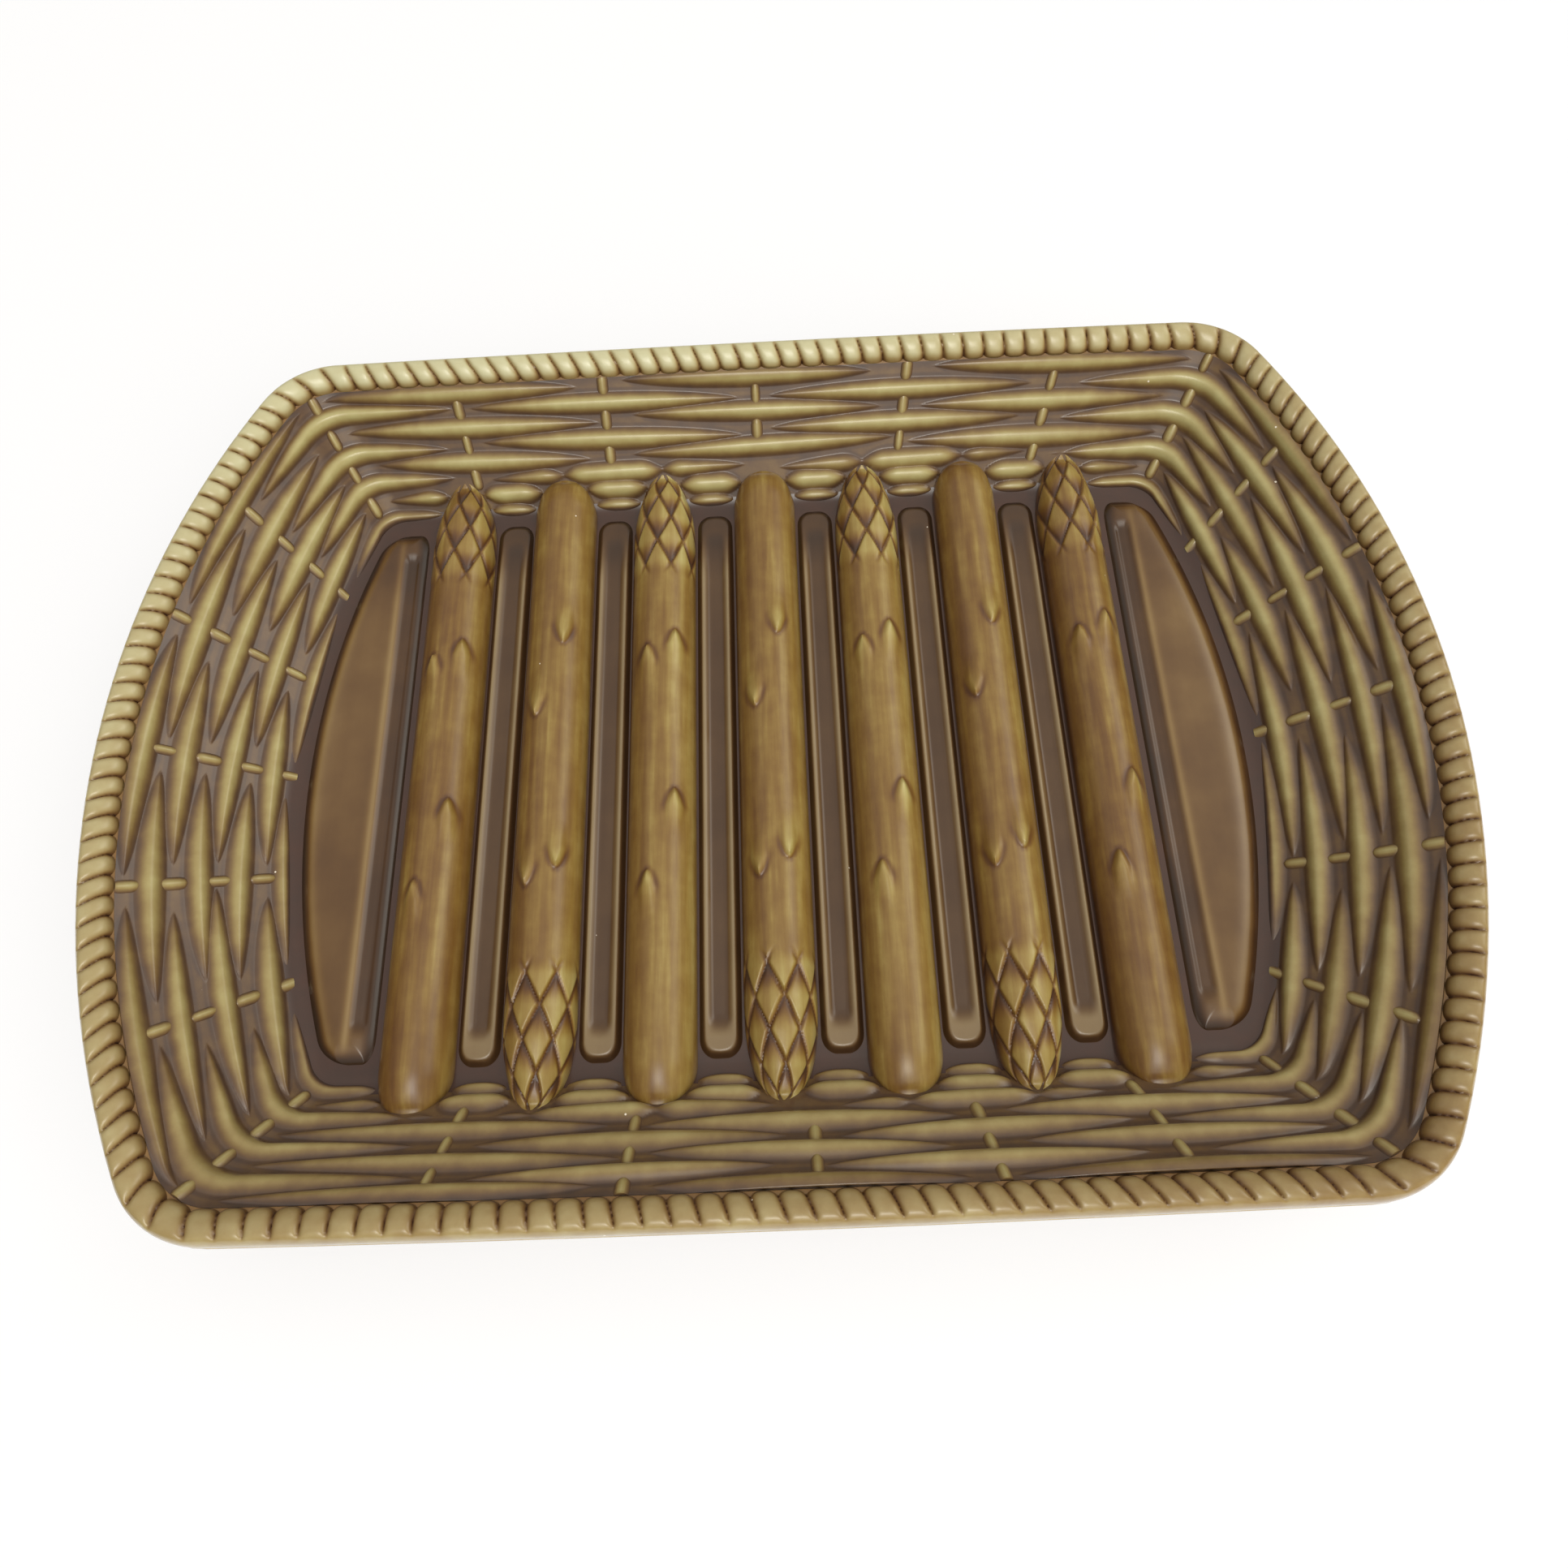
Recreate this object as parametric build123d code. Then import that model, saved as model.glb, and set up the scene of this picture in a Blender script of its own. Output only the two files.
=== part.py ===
from build123d import *
import math
import os

# Asparagus plate: a moulded, glazed earthenware serving dish. Seven asparagus spears lie in relief on a
# flat floor, with drain strips between them, inside a sloping basket-weave wall and a rope rim.
# Frame: millimetres, +X along the length, +Y to the far long side, +Z up, origin under the middle of the foot.

# Plan of the rim
PLATE_LENGTH = 380.0
PLATE_WIDTH = 271.0
END_ARC_RADIUS = 262.0
SIDE_ARC_RADIUS = 11500.0
RIM_CORNER_RADIUS = 27.0

# Dish in section
FOOT_HEIGHT = 3.5
FLOOR_THICKNESS = 5.0
WALL_RISE = 28.0
END_WALL_RUN = 35.0
SIDE_WALL_RUN = 31.0
WALL_THICKNESS = 5.0
FLOOR_CORNER_RADIUS = 10.0
FLOOR_END_RADIUS = 262.0

# Flange and rope rim
RIM_WIDTH = 9.0
FLANGE_THICKNESS = 3.5
LIP_LEDGE = 0.8
LIP_ROUND = 1.5
ROPE_HEIGHT = 5.0
ROPE_GROOVE_DEPTH = 1.3
LOBES_PER_SIDE = 44
LOBE_SLANT = 0.5
LOBE_SLANT_SWING = 0.4

# Foot ring under the floor
FOOT_WIDTH = 7.0
FOOT_INSET = 10.0
FOOT_CORNER_RADIUS = 16.0

# Basket weave on the wall
STAKES_PER_SIDE = 6
WEAVE_ROWS = 8
STRAND_WIDTH = 4.4
STRAND_HEIGHT = 2.2
STRAND_REACH = 0.68
KNOT_WIDTH = 4.2
KNOT_HEIGHT = 1.6
WEAVE_CLEARANCE = 0.3
SEAT_GAP = 0.05

# Asparagus spears
SPEAR_COUNT = 7
SPEAR_HEIGHT = 10.0
SPEAR_OVERHANG = 7.5
BUTT_ROUND = 10.0
TIP_LENGTH = 42.0
TIP_END_WIDTH = 3.0
BUTT_END_WIDTH = 9.0
SPEAR_END_LIFT = 1.0

# Drain strips and end panels
CHANNEL_WIDTH = 12.9
END_BAY_WIDTH = 26.7
MOAT_WIDTH = 2.2
FLOOR_MARGIN = 7.0
STRIP_HEIGHT = 2.2
GUTTER_MARGIN = 2.4
GUTTER_DEPTH = 0.9
PANEL_CORNER_RADIUS = 4.0

# Levels, lengths and counts worked out from the sizes above
FLOOR_TOP = FOOT_HEIGHT + FLOOR_THICKNESS
FLANGE_TOP = FLOOR_TOP + WALL_RISE
FLANGE_BOTTOM = FLANGE_TOP - FLANGE_THICKNESS
STAKE_COUNT = 4 * STAKES_PER_SIDE
FLOOR_HALF_LENGTH = PLATE_LENGTH / 2 - RIM_WIDTH - END_WALL_RUN
FLOOR_HALF_WIDTH = PLATE_WIDTH / 2 - RIM_WIDTH - SIDE_WALL_RUN
SPEAR_LENGTH = 2 * (FLOOR_HALF_WIDTH + SPEAR_OVERHANG)
SPEAR_SPAN = 2 * (FLOOR_HALF_LENGTH - FLOOR_MARGIN - END_BAY_WIDTH - MOAT_WIDTH)
SPEAR_WIDTH = (SPEAR_SPAN - (SPEAR_COUNT - 1) * CHANNEL_WIDTH) / SPEAR_COUNT
SPEAR_PITCH = SPEAR_WIDTH + CHANNEL_WIDTH
STRIP_WIDTH = CHANNEL_WIDTH - 2 * MOAT_WIDTH
GUTTER_WIDTH = STRIP_WIDTH - 2 * GUTTER_MARGIN
SPEAR_PLACES = [(i - (SPEAR_COUNT - 1) / 2) * SPEAR_PITCH for i in range(SPEAR_COUNT)]


class Outline:
    """A closed plan curve of two bowed ends, two nearly straight sides and four round corners."""

    def __init__(self, half_length, half_width, end_radius, side_radius, corner_radius):
        self.half_length = half_length
        self.half_width = half_width
        self.end_radius = end_radius
        self.side_radius = side_radius
        self.corner_radius = corner_radius
        self.arcs = self._arcs()

    def _corner_centre(self):
        """Centre of the corner arc that touches the right end and the far side from inside."""
        end = Vector(self.half_length - self.end_radius, 0)
        side = Vector(0, self.half_width - self.side_radius)
        to_end = self.end_radius - self.corner_radius
        to_side = self.side_radius - self.corner_radius
        line = side - end
        along = (to_end ** 2 - to_side ** 2 + line.length ** 2) / (2 * line.length)
        across = math.sqrt(to_end ** 2 - along ** 2)
        unit = line.normalized()
        return end + unit * along + Vector(-unit.Y, unit.X) * across

    def _arcs(self):
        """Eight arcs, counter-clockwise from the near side: centre x, centre y, radius, start, sweep."""
        corner = self._corner_centre()
        end_x = self.half_length - self.end_radius
        side_y = self.half_width - self.side_radius
        low = math.atan2(corner.Y, corner.X - end_x)
        high = math.atan2(corner.Y - side_y, corner.X)
        half_turn = math.pi
        turn = high - low
        return [
            (0, -side_y, self.side_radius, half_turn + high, half_turn - 2 * high),
            (corner.X, -corner.Y, self.corner_radius, -high, turn),
            (end_x, 0, self.end_radius, -low, 2 * low),
            (corner.X, corner.Y, self.corner_radius, low, turn),
            (0, side_y, self.side_radius, high, half_turn - 2 * high),
            (-corner.X, corner.Y, self.corner_radius, half_turn - high, turn),
            (-end_x, 0, self.end_radius, half_turn - low, 2 * low),
            (-corner.X, -corner.Y, self.corner_radius, half_turn + low, turn),
        ]

    def point(self, arc, fraction, z=0.0):
        """Point a fraction of the way along one of the eight arcs."""
        x, y, radius, start, sweep = self.arcs[arc]
        angle = start + fraction * sweep
        return Vector(x + radius * math.cos(angle), y + radius * math.sin(angle), z)

    def arc_length(self, arc):
        """Length of one of the eight arcs."""
        return self.arcs[arc][2] * self.arcs[arc][4]

    def side_y(self, x):
        """Distance of the far side from the X axis at a place along the length."""
        return self.half_width - self.side_radius + math.sqrt(self.side_radius ** 2 - x ** 2)

    def end_y(self, x):
        """Distance from the X axis at which the bowed right end reaches x."""
        reach = x - (self.half_length - self.end_radius)
        return math.sqrt(self.end_radius ** 2 - reach ** 2)

    def grown(self, end, side, corner_radius):
        """The same kind of curve, larger by end at each end and by side at each long side."""
        return Outline(self.half_length + end, self.half_width + side, self.end_radius + end,
                       self.side_radius + side, corner_radius)

    def wire(self, z):
        """The curve as a closed wire at a height."""
        edges = []
        for arc in range(len(self.arcs)):
            edges.append(ThreePointArc(self.point(arc, 0, z), self.point(arc, 0.5, z), self.point(arc, 1, z)))
        return Wire(edges)

    def face(self, z):
        """The flat area inside the curve at a height."""
        return Face(self.wire(z))


rim_outer = Outline(PLATE_LENGTH / 2, PLATE_WIDTH / 2, END_ARC_RADIUS, SIDE_ARC_RADIUS, RIM_CORNER_RADIUS)
rim_inner = rim_outer.grown(-RIM_WIDTH, -RIM_WIDTH, RIM_CORNER_RADIUS - RIM_WIDTH)
rope_outer = rim_outer.grown(-LIP_LEDGE, -LIP_LEDGE, RIM_CORNER_RADIUS - LIP_LEDGE)
floor_edge = Outline(FLOOR_HALF_LENGTH, FLOOR_HALF_WIDTH, FLOOR_END_RADIUS, SIDE_ARC_RADIUS,
                     FLOOR_CORNER_RADIUS)


def locate(station):
    """Arc and fraction along it for a place counted in stakes round the wall from the near left corner."""
    side, place = divmod(station % STAKE_COUNT, STAKES_PER_SIDE)
    run = [(2 * int(side) - 1) % 8, 2 * int(side), 2 * int(side) + 1]
    lengths = [rim_inner.arc_length(arc) for arc in run]
    distance = place / STAKES_PER_SIDE * (lengths[0] / 2 + lengths[1] + lengths[2] / 2)
    if distance < lengths[0] / 2:
        return run[0], 0.5 + distance / lengths[0]
    if distance < lengths[0] / 2 + lengths[1]:
        return run[1], (distance - lengths[0] / 2) / lengths[1]
    return run[2], (distance - lengths[0] / 2 - lengths[1]) / lengths[2]


def wall_point(station, rise):
    """Point on the inner wall at a place round it and a share of the way from floor to rim."""
    low = floor_edge.point(*locate(station), FLOOR_TOP)
    high = rim_inner.point(*locate(station), FLANGE_TOP)
    return low + (high - low) * rise


def wall_frame(station):
    """Directions along the wall, up its slope and out of its surface, and the length of the slope."""
    step = 0.01
    along = (wall_point(station + step, 0.5) - wall_point(station - step, 0.5)).normalized()
    slope = wall_point(station, 1) - wall_point(station, 0)
    up = slope.normalized()
    return along, up, up.cross(along).normalized(), slope.length


def arch(foot_a, foot_b, crown):
    """A closed half-round section with a straight foot."""
    return Wire([Line(foot_a, foot_b), ThreePointArc(foot_b, crown, foot_a)])


def bar(sections):
    """A solid bar through half-round sections."""
    return Solid.make_loft(sections, ruled=True)


def dish_shell():
    """Floor, sloping wall and flat flange, in one shell of even thickness."""
    end_thickness = WALL_THICKNESS * math.hypot(END_WALL_RUN, WALL_RISE) / WALL_RISE
    side_thickness = WALL_THICKNESS * math.hypot(SIDE_WALL_RUN, WALL_RISE) / WALL_RISE
    end_slope = END_WALL_RUN / WALL_RISE
    side_slope = SIDE_WALL_RUN / WALL_RISE
    base = floor_edge.grown(end_thickness - FLOOR_THICKNESS * end_slope,
                            side_thickness - FLOOR_THICKNESS * side_slope,
                            FLOOR_CORNER_RADIUS + WALL_THICKNESS)
    shoulder = rim_inner.grown(end_thickness - FLANGE_THICKNESS * end_slope,
                               side_thickness - FLANGE_THICKNESS * side_slope,
                               rim_inner.corner_radius + WALL_THICKNESS)
    outside = Solid.make_loft([base.wire(FOOT_HEIGHT), shoulder.wire(FLANGE_BOTTOM)], ruled=True)
    lip_foot = rim_outer.grown(-LIP_ROUND, -LIP_ROUND, RIM_CORNER_RADIUS - LIP_ROUND)
    flange = Solid.make_loft([lip_foot.wire(FLANGE_BOTTOM), rim_outer.wire(FLANGE_BOTTOM + LIP_ROUND),
                              rim_outer.wire(FLANGE_TOP - LIP_LEDGE), rope_outer.wire(FLANGE_TOP)], ruled=True)
    hollow = Solid.make_loft([floor_edge.wire(FLOOR_TOP), rim_inner.wire(FLANGE_TOP)], ruled=True)
    return outside + flange - hollow


def foot_ring():
    """The low ring under the floor that the plate stands on."""
    outer = floor_edge.grown(-FOOT_INSET, -FOOT_INSET, FOOT_CORNER_RADIUS)
    inner = outer.grown(-FOOT_WIDTH, -FOOT_WIDTH, FOOT_CORNER_RADIUS - FOOT_WIDTH)
    return extrude(outer.face(0) - inner.face(0), FOOT_HEIGHT, dir=(0, 0, 1))


def rope_section(lobe, height):
    """Half-round section across the rope, slanted so that its outer foot leads round the rim."""
    lobes_per_stake = LOBES_PER_SIDE / STAKES_PER_SIDE
    lead = (LOBE_SLANT + LOBE_SLANT_SWING * math.sin(2 * math.pi * lobe / LOBES_PER_SIDE)) / 2
    foot_in = rim_inner.point(*locate((lobe - lead) / lobes_per_stake), FLANGE_TOP)
    foot_out = rope_outer.point(*locate((lobe + lead) / lobes_per_stake), FLANGE_TOP)
    return arch(foot_in, foot_out, (foot_in + foot_out) / 2 + Vector(0, 0, height))


def rope_rim():
    """The twisted rope on the flange, in four lengths that meet at the corners."""
    groove = ROPE_HEIGHT - ROPE_GROOVE_DEPTH
    lengths = []
    for side in range(4):
        first = side * LOBES_PER_SIDE
        sections = []
        for lobe in range(first, first + LOBES_PER_SIDE):
            sections.append(rope_section(lobe, groove))
            sections.append(rope_section(lobe + 0.25, ROPE_HEIGHT))
            sections.append(rope_section(lobe + 0.75, ROPE_HEIGHT))
        sections.append(rope_section(first + LOBES_PER_SIDE, groove))
        lengths.append(bar(sections))
    return lengths


def spear_half_width(place):
    """Half width of a spear at a distance from its butt end."""
    full = SPEAR_WIDTH / 2
    if place < BUTT_ROUND:
        blunt = BUTT_END_WIDTH / 2
        return blunt + (full - blunt) * math.sqrt(1 - (1 - place / BUTT_ROUND) ** 2)
    taper = max(0.0, (place - (SPEAR_LENGTH - TIP_LENGTH)) / TIP_LENGTH)
    point = TIP_END_WIDTH / 2
    return point + (full - point) * (1 - taper ** 2)


def bed_height(x, y):
    """Height of the surface under a spear: the floor, then the foot of the long wall."""
    past = abs(y) - floor_edge.side_y(x)
    return FLOOR_TOP + max(0.0, past * WALL_RISE / SIDE_WALL_RUN + SEAT_GAP)


def spear_section(x, y, half_width, crown):
    """Half-round section of a spear whose feet lie on the bed."""
    left = Vector(x - half_width, y, bed_height(x - half_width, y))
    right = Vector(x + half_width, y, bed_height(x + half_width, y))
    return arch(left, right, Vector(x, y, crown))


def spear(x, tip_far):
    """One asparagus spear, butt at one long wall and tip at the other."""
    reach = SPEAR_LENGTH / 2
    edge = reach - floor_edge.side_y(x)
    places = [0, BUTT_ROUND * 0.1, BUTT_ROUND * 0.3, BUTT_ROUND * 0.6, BUTT_ROUND]
    places += [SPEAR_LENGTH - TIP_LENGTH * share for share in (1, 0.8, 0.6, 0.45, 0.3, 0.1, 0)]
    places += [place for place in (edge, SPEAR_LENGTH - edge) if edge > 0]
    sections = []
    for place in sorted(set(places)):
        y = place - reach if tip_far else reach - place
        half_width = spear_half_width(place)
        share = math.sqrt(2 * half_width / SPEAR_WIDTH)
        crown = max(FLOOR_TOP + SPEAR_HEIGHT * share, bed_height(x, y) + SPEAR_END_LIFT)
        sections.append(spear_section(x, y, half_width, crown))
    return bar(sections)


def drain_strip(x):
    """A low strip between two spears with a shallow gutter along its top."""
    length = 2 * (floor_edge.side_y(x) - FLOOR_MARGIN)
    strip = extrude(SlotOverall(length, STRIP_WIDTH, rotation=90), STRIP_HEIGHT)
    gutter = extrude(SlotOverall(length - 2 * GUTTER_MARGIN, GUTTER_WIDTH, rotation=90), GUTTER_DEPTH)
    return Pos(x, 0, FLOOR_TOP) * (strip - Pos(0, 0, STRIP_HEIGHT - GUTTER_DEPTH) * gutter)


def end_panel(right):
    """A D-shaped raised panel between the outermost spear and the bowed wall, with a gutter beside the spear."""
    bound = floor_edge.grown(-FLOOR_MARGIN, -FLOOR_MARGIN, PANEL_CORNER_RADIUS)
    inner = SPEAR_PLACES[-1] + SPEAR_WIDTH / 2 + MOAT_WIDTH
    half = min(bound.side_y(inner), bound.end_y(inner))
    cut = Pos(inner, 0) * Rectangle(PLATE_LENGTH, PLATE_WIDTH, align=(Align.MIN, Align.CENTER))
    face = bound.face(0) & cut
    panel = extrude(face, STRIP_HEIGHT, dir=(0, 0, 1))
    gutter_length = 2 * (half - GUTTER_MARGIN)
    gutter = extrude(SlotOverall(gutter_length, GUTTER_WIDTH, rotation=90), GUTTER_DEPTH)
    panel -= Pos(inner + GUTTER_MARGIN + GUTTER_WIDTH / 2, 0, STRIP_HEIGHT - GUTTER_DEPTH) * gutter
    turn = 0 if right else 180
    return Pos(0, 0, FLOOR_TOP) * Rot(0, 0, turn) * panel


def row_rise(row):
    """Share of the way up the wall of a weave row, counted from the rim down."""
    return 1 - (row - 0.5) / WEAVE_ROWS


def in_front(row, stake):
    """True where a weave row passes in front of a stake."""
    return (row + stake) % 2 == 0


def strand(row, middle, reach, steps):
    """A spindle-shaped stretch of weaver, lying on the wall with its middle at a place round it."""
    sections = []
    for step in range(-steps, steps + 1):
        share = step / steps
        swell = max(1 - share ** 2, 0.08)
        station = middle + share * reach
        along, up, out, slope = wall_frame(station)
        centre = wall_point(station, row_rise(row)) + out * SEAT_GAP
        half = up * (STRAND_WIDTH / 2 * math.sqrt(swell))
        sections.append(arch(centre - half, centre + half, centre + out * (STRAND_HEIGHT * swell)))
    return bar(sections)


def knot(row, stake):
    """The short length of a stake that shows between the weavers above and below it."""
    along, up, out, slope = wall_frame(stake)
    lift = out * SEAT_GAP
    middle = row_rise(row) * slope
    reach = slope / WEAVE_ROWS - STRAND_WIDTH / 2 - WEAVE_CLEARANCE
    low = max(middle - reach, WEAVE_CLEARANCE) / slope
    high = min(middle + reach, slope - WEAVE_CLEARANCE) / slope
    sections = []
    for share in (0, 0.2, 0.8, 1):
        rise = low + (high - low) * share
        swell = 1 - 0.4 * (2 * share - 1) ** 4
        stretch = (wall_point(stake + 0.1, rise) - wall_point(stake - 0.1, rise)).length / 0.2
        half = KNOT_WIDTH / 2 * swell / stretch
        left = wall_point(stake - half, rise) + lift
        right = wall_point(stake + half, rise) + lift
        sections.append(arch(left, right, (left + right) / 2 + out * (KNOT_HEIGHT * swell)))
    return bar(sections)


def below_spears(row, station):
    """True where a weave row on a long side lies low enough to run into the spear ends."""
    side = int(station % STAKE_COUNT) // STAKES_PER_SIDE
    if side % 2 == 1 or station % STAKES_PER_SIDE == 0:
        return False
    lean = SIDE_WALL_RUN / math.hypot(SIDE_WALL_RUN, WALL_RISE)
    low = row_rise(row) * SIDE_WALL_RUN - STRAND_WIDTH / 2 * lean
    return floor_edge.half_width + low < SPEAR_LENGTH / 2 + WEAVE_CLEARANCE


def station_at(x, rise, far):
    """Place round the wall, in stakes, of a distance along one of the long sides at a height on the wall."""
    arc = 4 if far else 0
    lead = rim_inner.arc_length(arc + 1) / 2
    run = rim_inner.arc_length(arc)
    chord = floor_edge.arc_length(arc) * (1 - rise) + run * rise
    share = 0.5 + x / chord * (-1 if far else 1)
    return STAKES_PER_SIDE * (arc / 2 + (lead + share * run) / (2 * lead + run))


def short_strands(row):
    """The short stretches of a low weave row that show in the gaps between the spear ends."""
    gap = CHANNEL_WIDTH - 2 * WEAVE_CLEARANCE
    pieces = []
    for far in (False, True):
        for place in SPEAR_PLACES[:-1]:
            middle = place + SPEAR_PITCH / 2
            start = station_at(middle - gap / 2, row_rise(row), far)
            stop = station_at(middle + gap / 2, row_rise(row), far)
            pieces.append(strand(row, (start + stop) / 2, abs(stop - start) / 2, 2))
    return pieces


def weave_row(row):
    """All the visible stretches of one weaver round the wall."""
    pieces = []
    for stake in range(STAKE_COUNT):
        if in_front(row, stake) and not below_spears(row, stake):
            corner = stake % STAKES_PER_SIDE == 0
            pieces.append(strand(row, stake, STRAND_REACH, 8 if corner else 3))
    if below_spears(row, 1):
        pieces += short_strands(row)
    return pieces


def stake_knots():
    """Every place where a stake shows between two weavers."""
    pieces = []
    for row in range(1, WEAVE_ROWS + 1):
        for stake in range(STAKE_COUNT):
            if not in_front(row, stake) and not below_spears(row, stake):
                pieces.append(knot(row, stake))
    return pieces


nodes = {"dish_shell": dish_shell(), "foot_ring": foot_ring(), "rope_rim": Compound(rope_rim())}
for index, place in enumerate(SPEAR_PLACES, 1):
    nodes[f"asparagus_spear_{index}"] = spear(place, index % 2 == 1)
for index, place in enumerate(SPEAR_PLACES[:-1], 1):
    nodes[f"drain_strip_{index}"] = drain_strip(place + SPEAR_PITCH / 2)
nodes["end_panel_left"] = end_panel(False)
nodes["end_panel_right"] = end_panel(True)
for row in range(1, WEAVE_ROWS + 1):
    nodes[f"weave_row_{row}"] = Compound(weave_row(row))
nodes["stake_knots"] = Compound(stake_knots())

os.makedirs("parts", exist_ok=True)
for name, shape in nodes.items():
    export_step(shape, f"parts/{name}.step")
    print(name, round(shape.volume, 1))
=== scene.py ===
"""Looks of a moulded, glazed asparagus plate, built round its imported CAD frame."""

import logging
import math
from dataclasses import dataclass, field
from enum import Enum
from functools import cached_property
from typing import Any, Callable, NamedTuple

import bmesh
import bpy
import numpy as np
from mathutils import Matrix, Vector


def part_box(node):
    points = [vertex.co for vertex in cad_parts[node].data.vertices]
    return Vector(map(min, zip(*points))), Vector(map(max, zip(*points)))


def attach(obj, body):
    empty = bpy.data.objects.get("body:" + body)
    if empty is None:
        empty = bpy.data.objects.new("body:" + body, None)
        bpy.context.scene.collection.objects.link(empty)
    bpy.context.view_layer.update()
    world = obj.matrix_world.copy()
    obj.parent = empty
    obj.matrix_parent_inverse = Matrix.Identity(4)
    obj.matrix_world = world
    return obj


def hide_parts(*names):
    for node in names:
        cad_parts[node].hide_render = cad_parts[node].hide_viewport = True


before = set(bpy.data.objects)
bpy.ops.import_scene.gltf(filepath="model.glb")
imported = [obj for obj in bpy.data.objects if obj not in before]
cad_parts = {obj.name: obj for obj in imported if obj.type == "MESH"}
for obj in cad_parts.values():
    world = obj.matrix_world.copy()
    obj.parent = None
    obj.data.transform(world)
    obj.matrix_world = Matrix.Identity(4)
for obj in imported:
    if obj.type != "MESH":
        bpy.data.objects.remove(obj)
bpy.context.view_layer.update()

MM = 0.001
BODY = "root"
# Per-point glaze thickness, which on some pieces also carries painted shade and painted light.
GLAZE = "glaze"
FACING = "facing"
LOG = logging.getLogger("asparagus_plate")
Array = np.ndarray
Colour = tuple[float, float, float]


class Heading(Enum):
    """Which long side a spear's tip points to."""

    FAR = 1
    NEAR = -1


class End(Enum):
    """One of the plate's two bowed ends."""

    LEFT = -1
    RIGHT = 1


def smoothstep(low: float, high: float, value: Array) -> Array:
    """Smooth rise from 0 at low to 1 at high."""
    share = np.clip((value - low) / (high - low), 0.0, 1.0)
    return share * share * (3.0 - 2.0 * share)


def soft_max(first: Array, second: Array, blend: float) -> Array:
    """Larger of two heights, with a fillet where they come within blend of each other."""
    share = np.clip(0.5 + 0.5 * (first - second) / blend, 0.0, 1.0)
    return second + (first - second) * share + blend * share * (1.0 - share)


def jitter(row: Array, column: Array, draw: float) -> Array:
    """Steady scatter from -1 to 1 for a numbered place and a numbered draw."""
    mixed = np.sin(row * 12.9898 + column * 78.233 + draw * 37.719) * 43758.5453
    return 2.0 * (mixed - np.floor(mixed)) - 1.0


def with_level(plan: Array, level: Array | float) -> Array:
    """Plan points lifted to a level."""
    return np.column_stack([plan, np.broadcast_to(level, len(plan))])


@dataclass(frozen=True)
class Outline:
    """Closed plan curve of two bowed ends, two nearly straight sides and four round corners."""

    half_length: float
    half_width: float
    end_radius: float
    side_radius: float
    corner_radius: float

    def arcs(self) -> Array:
        """Lay out the eight arcs, counter-clockwise from the near side.

        Returns:
            One line per arc: centre x, centre y, radius, start angle and sweep.
        """
        end_x = self.half_length - self.end_radius
        side_y = self.half_width - self.side_radius
        line = np.array([-end_x, side_y])
        span = np.hypot(*line)
        to_end = self.end_radius - self.corner_radius
        to_side = self.side_radius - self.corner_radius
        along = (to_end ** 2 - to_side ** 2 + span ** 2) / (2 * span)
        across = math.sqrt(to_end ** 2 - along ** 2)
        unit = line / span
        x, y = np.array([end_x, 0.0]) + unit * along + np.array([-unit[1], unit[0]]) * across
        low = math.atan2(y, x - end_x)
        high = math.atan2(y - side_y, x)
        corner, turn, half = self.corner_radius, high - low, math.pi
        return np.array([
            (0, -side_y, self.side_radius, half + high, half - 2 * high), (x, -y, corner, -high, turn),
            (end_x, 0, self.end_radius, -low, 2 * low), (x, y, corner, low, turn),
            (0, side_y, self.side_radius, high, half - 2 * high), (-x, y, corner, half - high, turn),
            (-end_x, 0, self.end_radius, half - low, 2 * low), (-x, -y, corner, half + low, turn)])

    def at(self, arc: Array, share: Array) -> Array:
        """Plan points a share of the way along numbered arcs."""
        x, y, radius, start, sweep = self.arcs()[arc].T
        angle = start + share * sweep
        return np.column_stack([x + radius * np.cos(angle), y + radius * np.sin(angle)])

    def lengths(self) -> Array:
        """Length of each arc."""
        arcs = self.arcs()
        return arcs[:, 2] * arcs[:, 4]

    def grown(self, end: float, side: float, corner_radius: float) -> "Outline":
        """The same kind of curve, larger by end at each end and by side at each long side."""
        return Outline(self.half_length + end, self.half_width + side, self.end_radius + end,
                       self.side_radius + side, corner_radius)

    def inset(self, distance: float) -> "Outline":
        """The curve moved inwards by an even distance."""
        return self.grown(-distance, -distance, max(self.corner_radius - distance, MM))

    def side_y(self, x: Array) -> Array:
        """Distance of the long side from the X axis."""
        return self.half_width - self.side_radius + np.sqrt(self.side_radius ** 2 - x ** 2)

    def end_x(self, y: Array) -> Array:
        """Distance of the bowed end from the Y axis."""
        return self.half_length - self.end_radius + np.sqrt(self.end_radius ** 2 - y ** 2)


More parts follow.
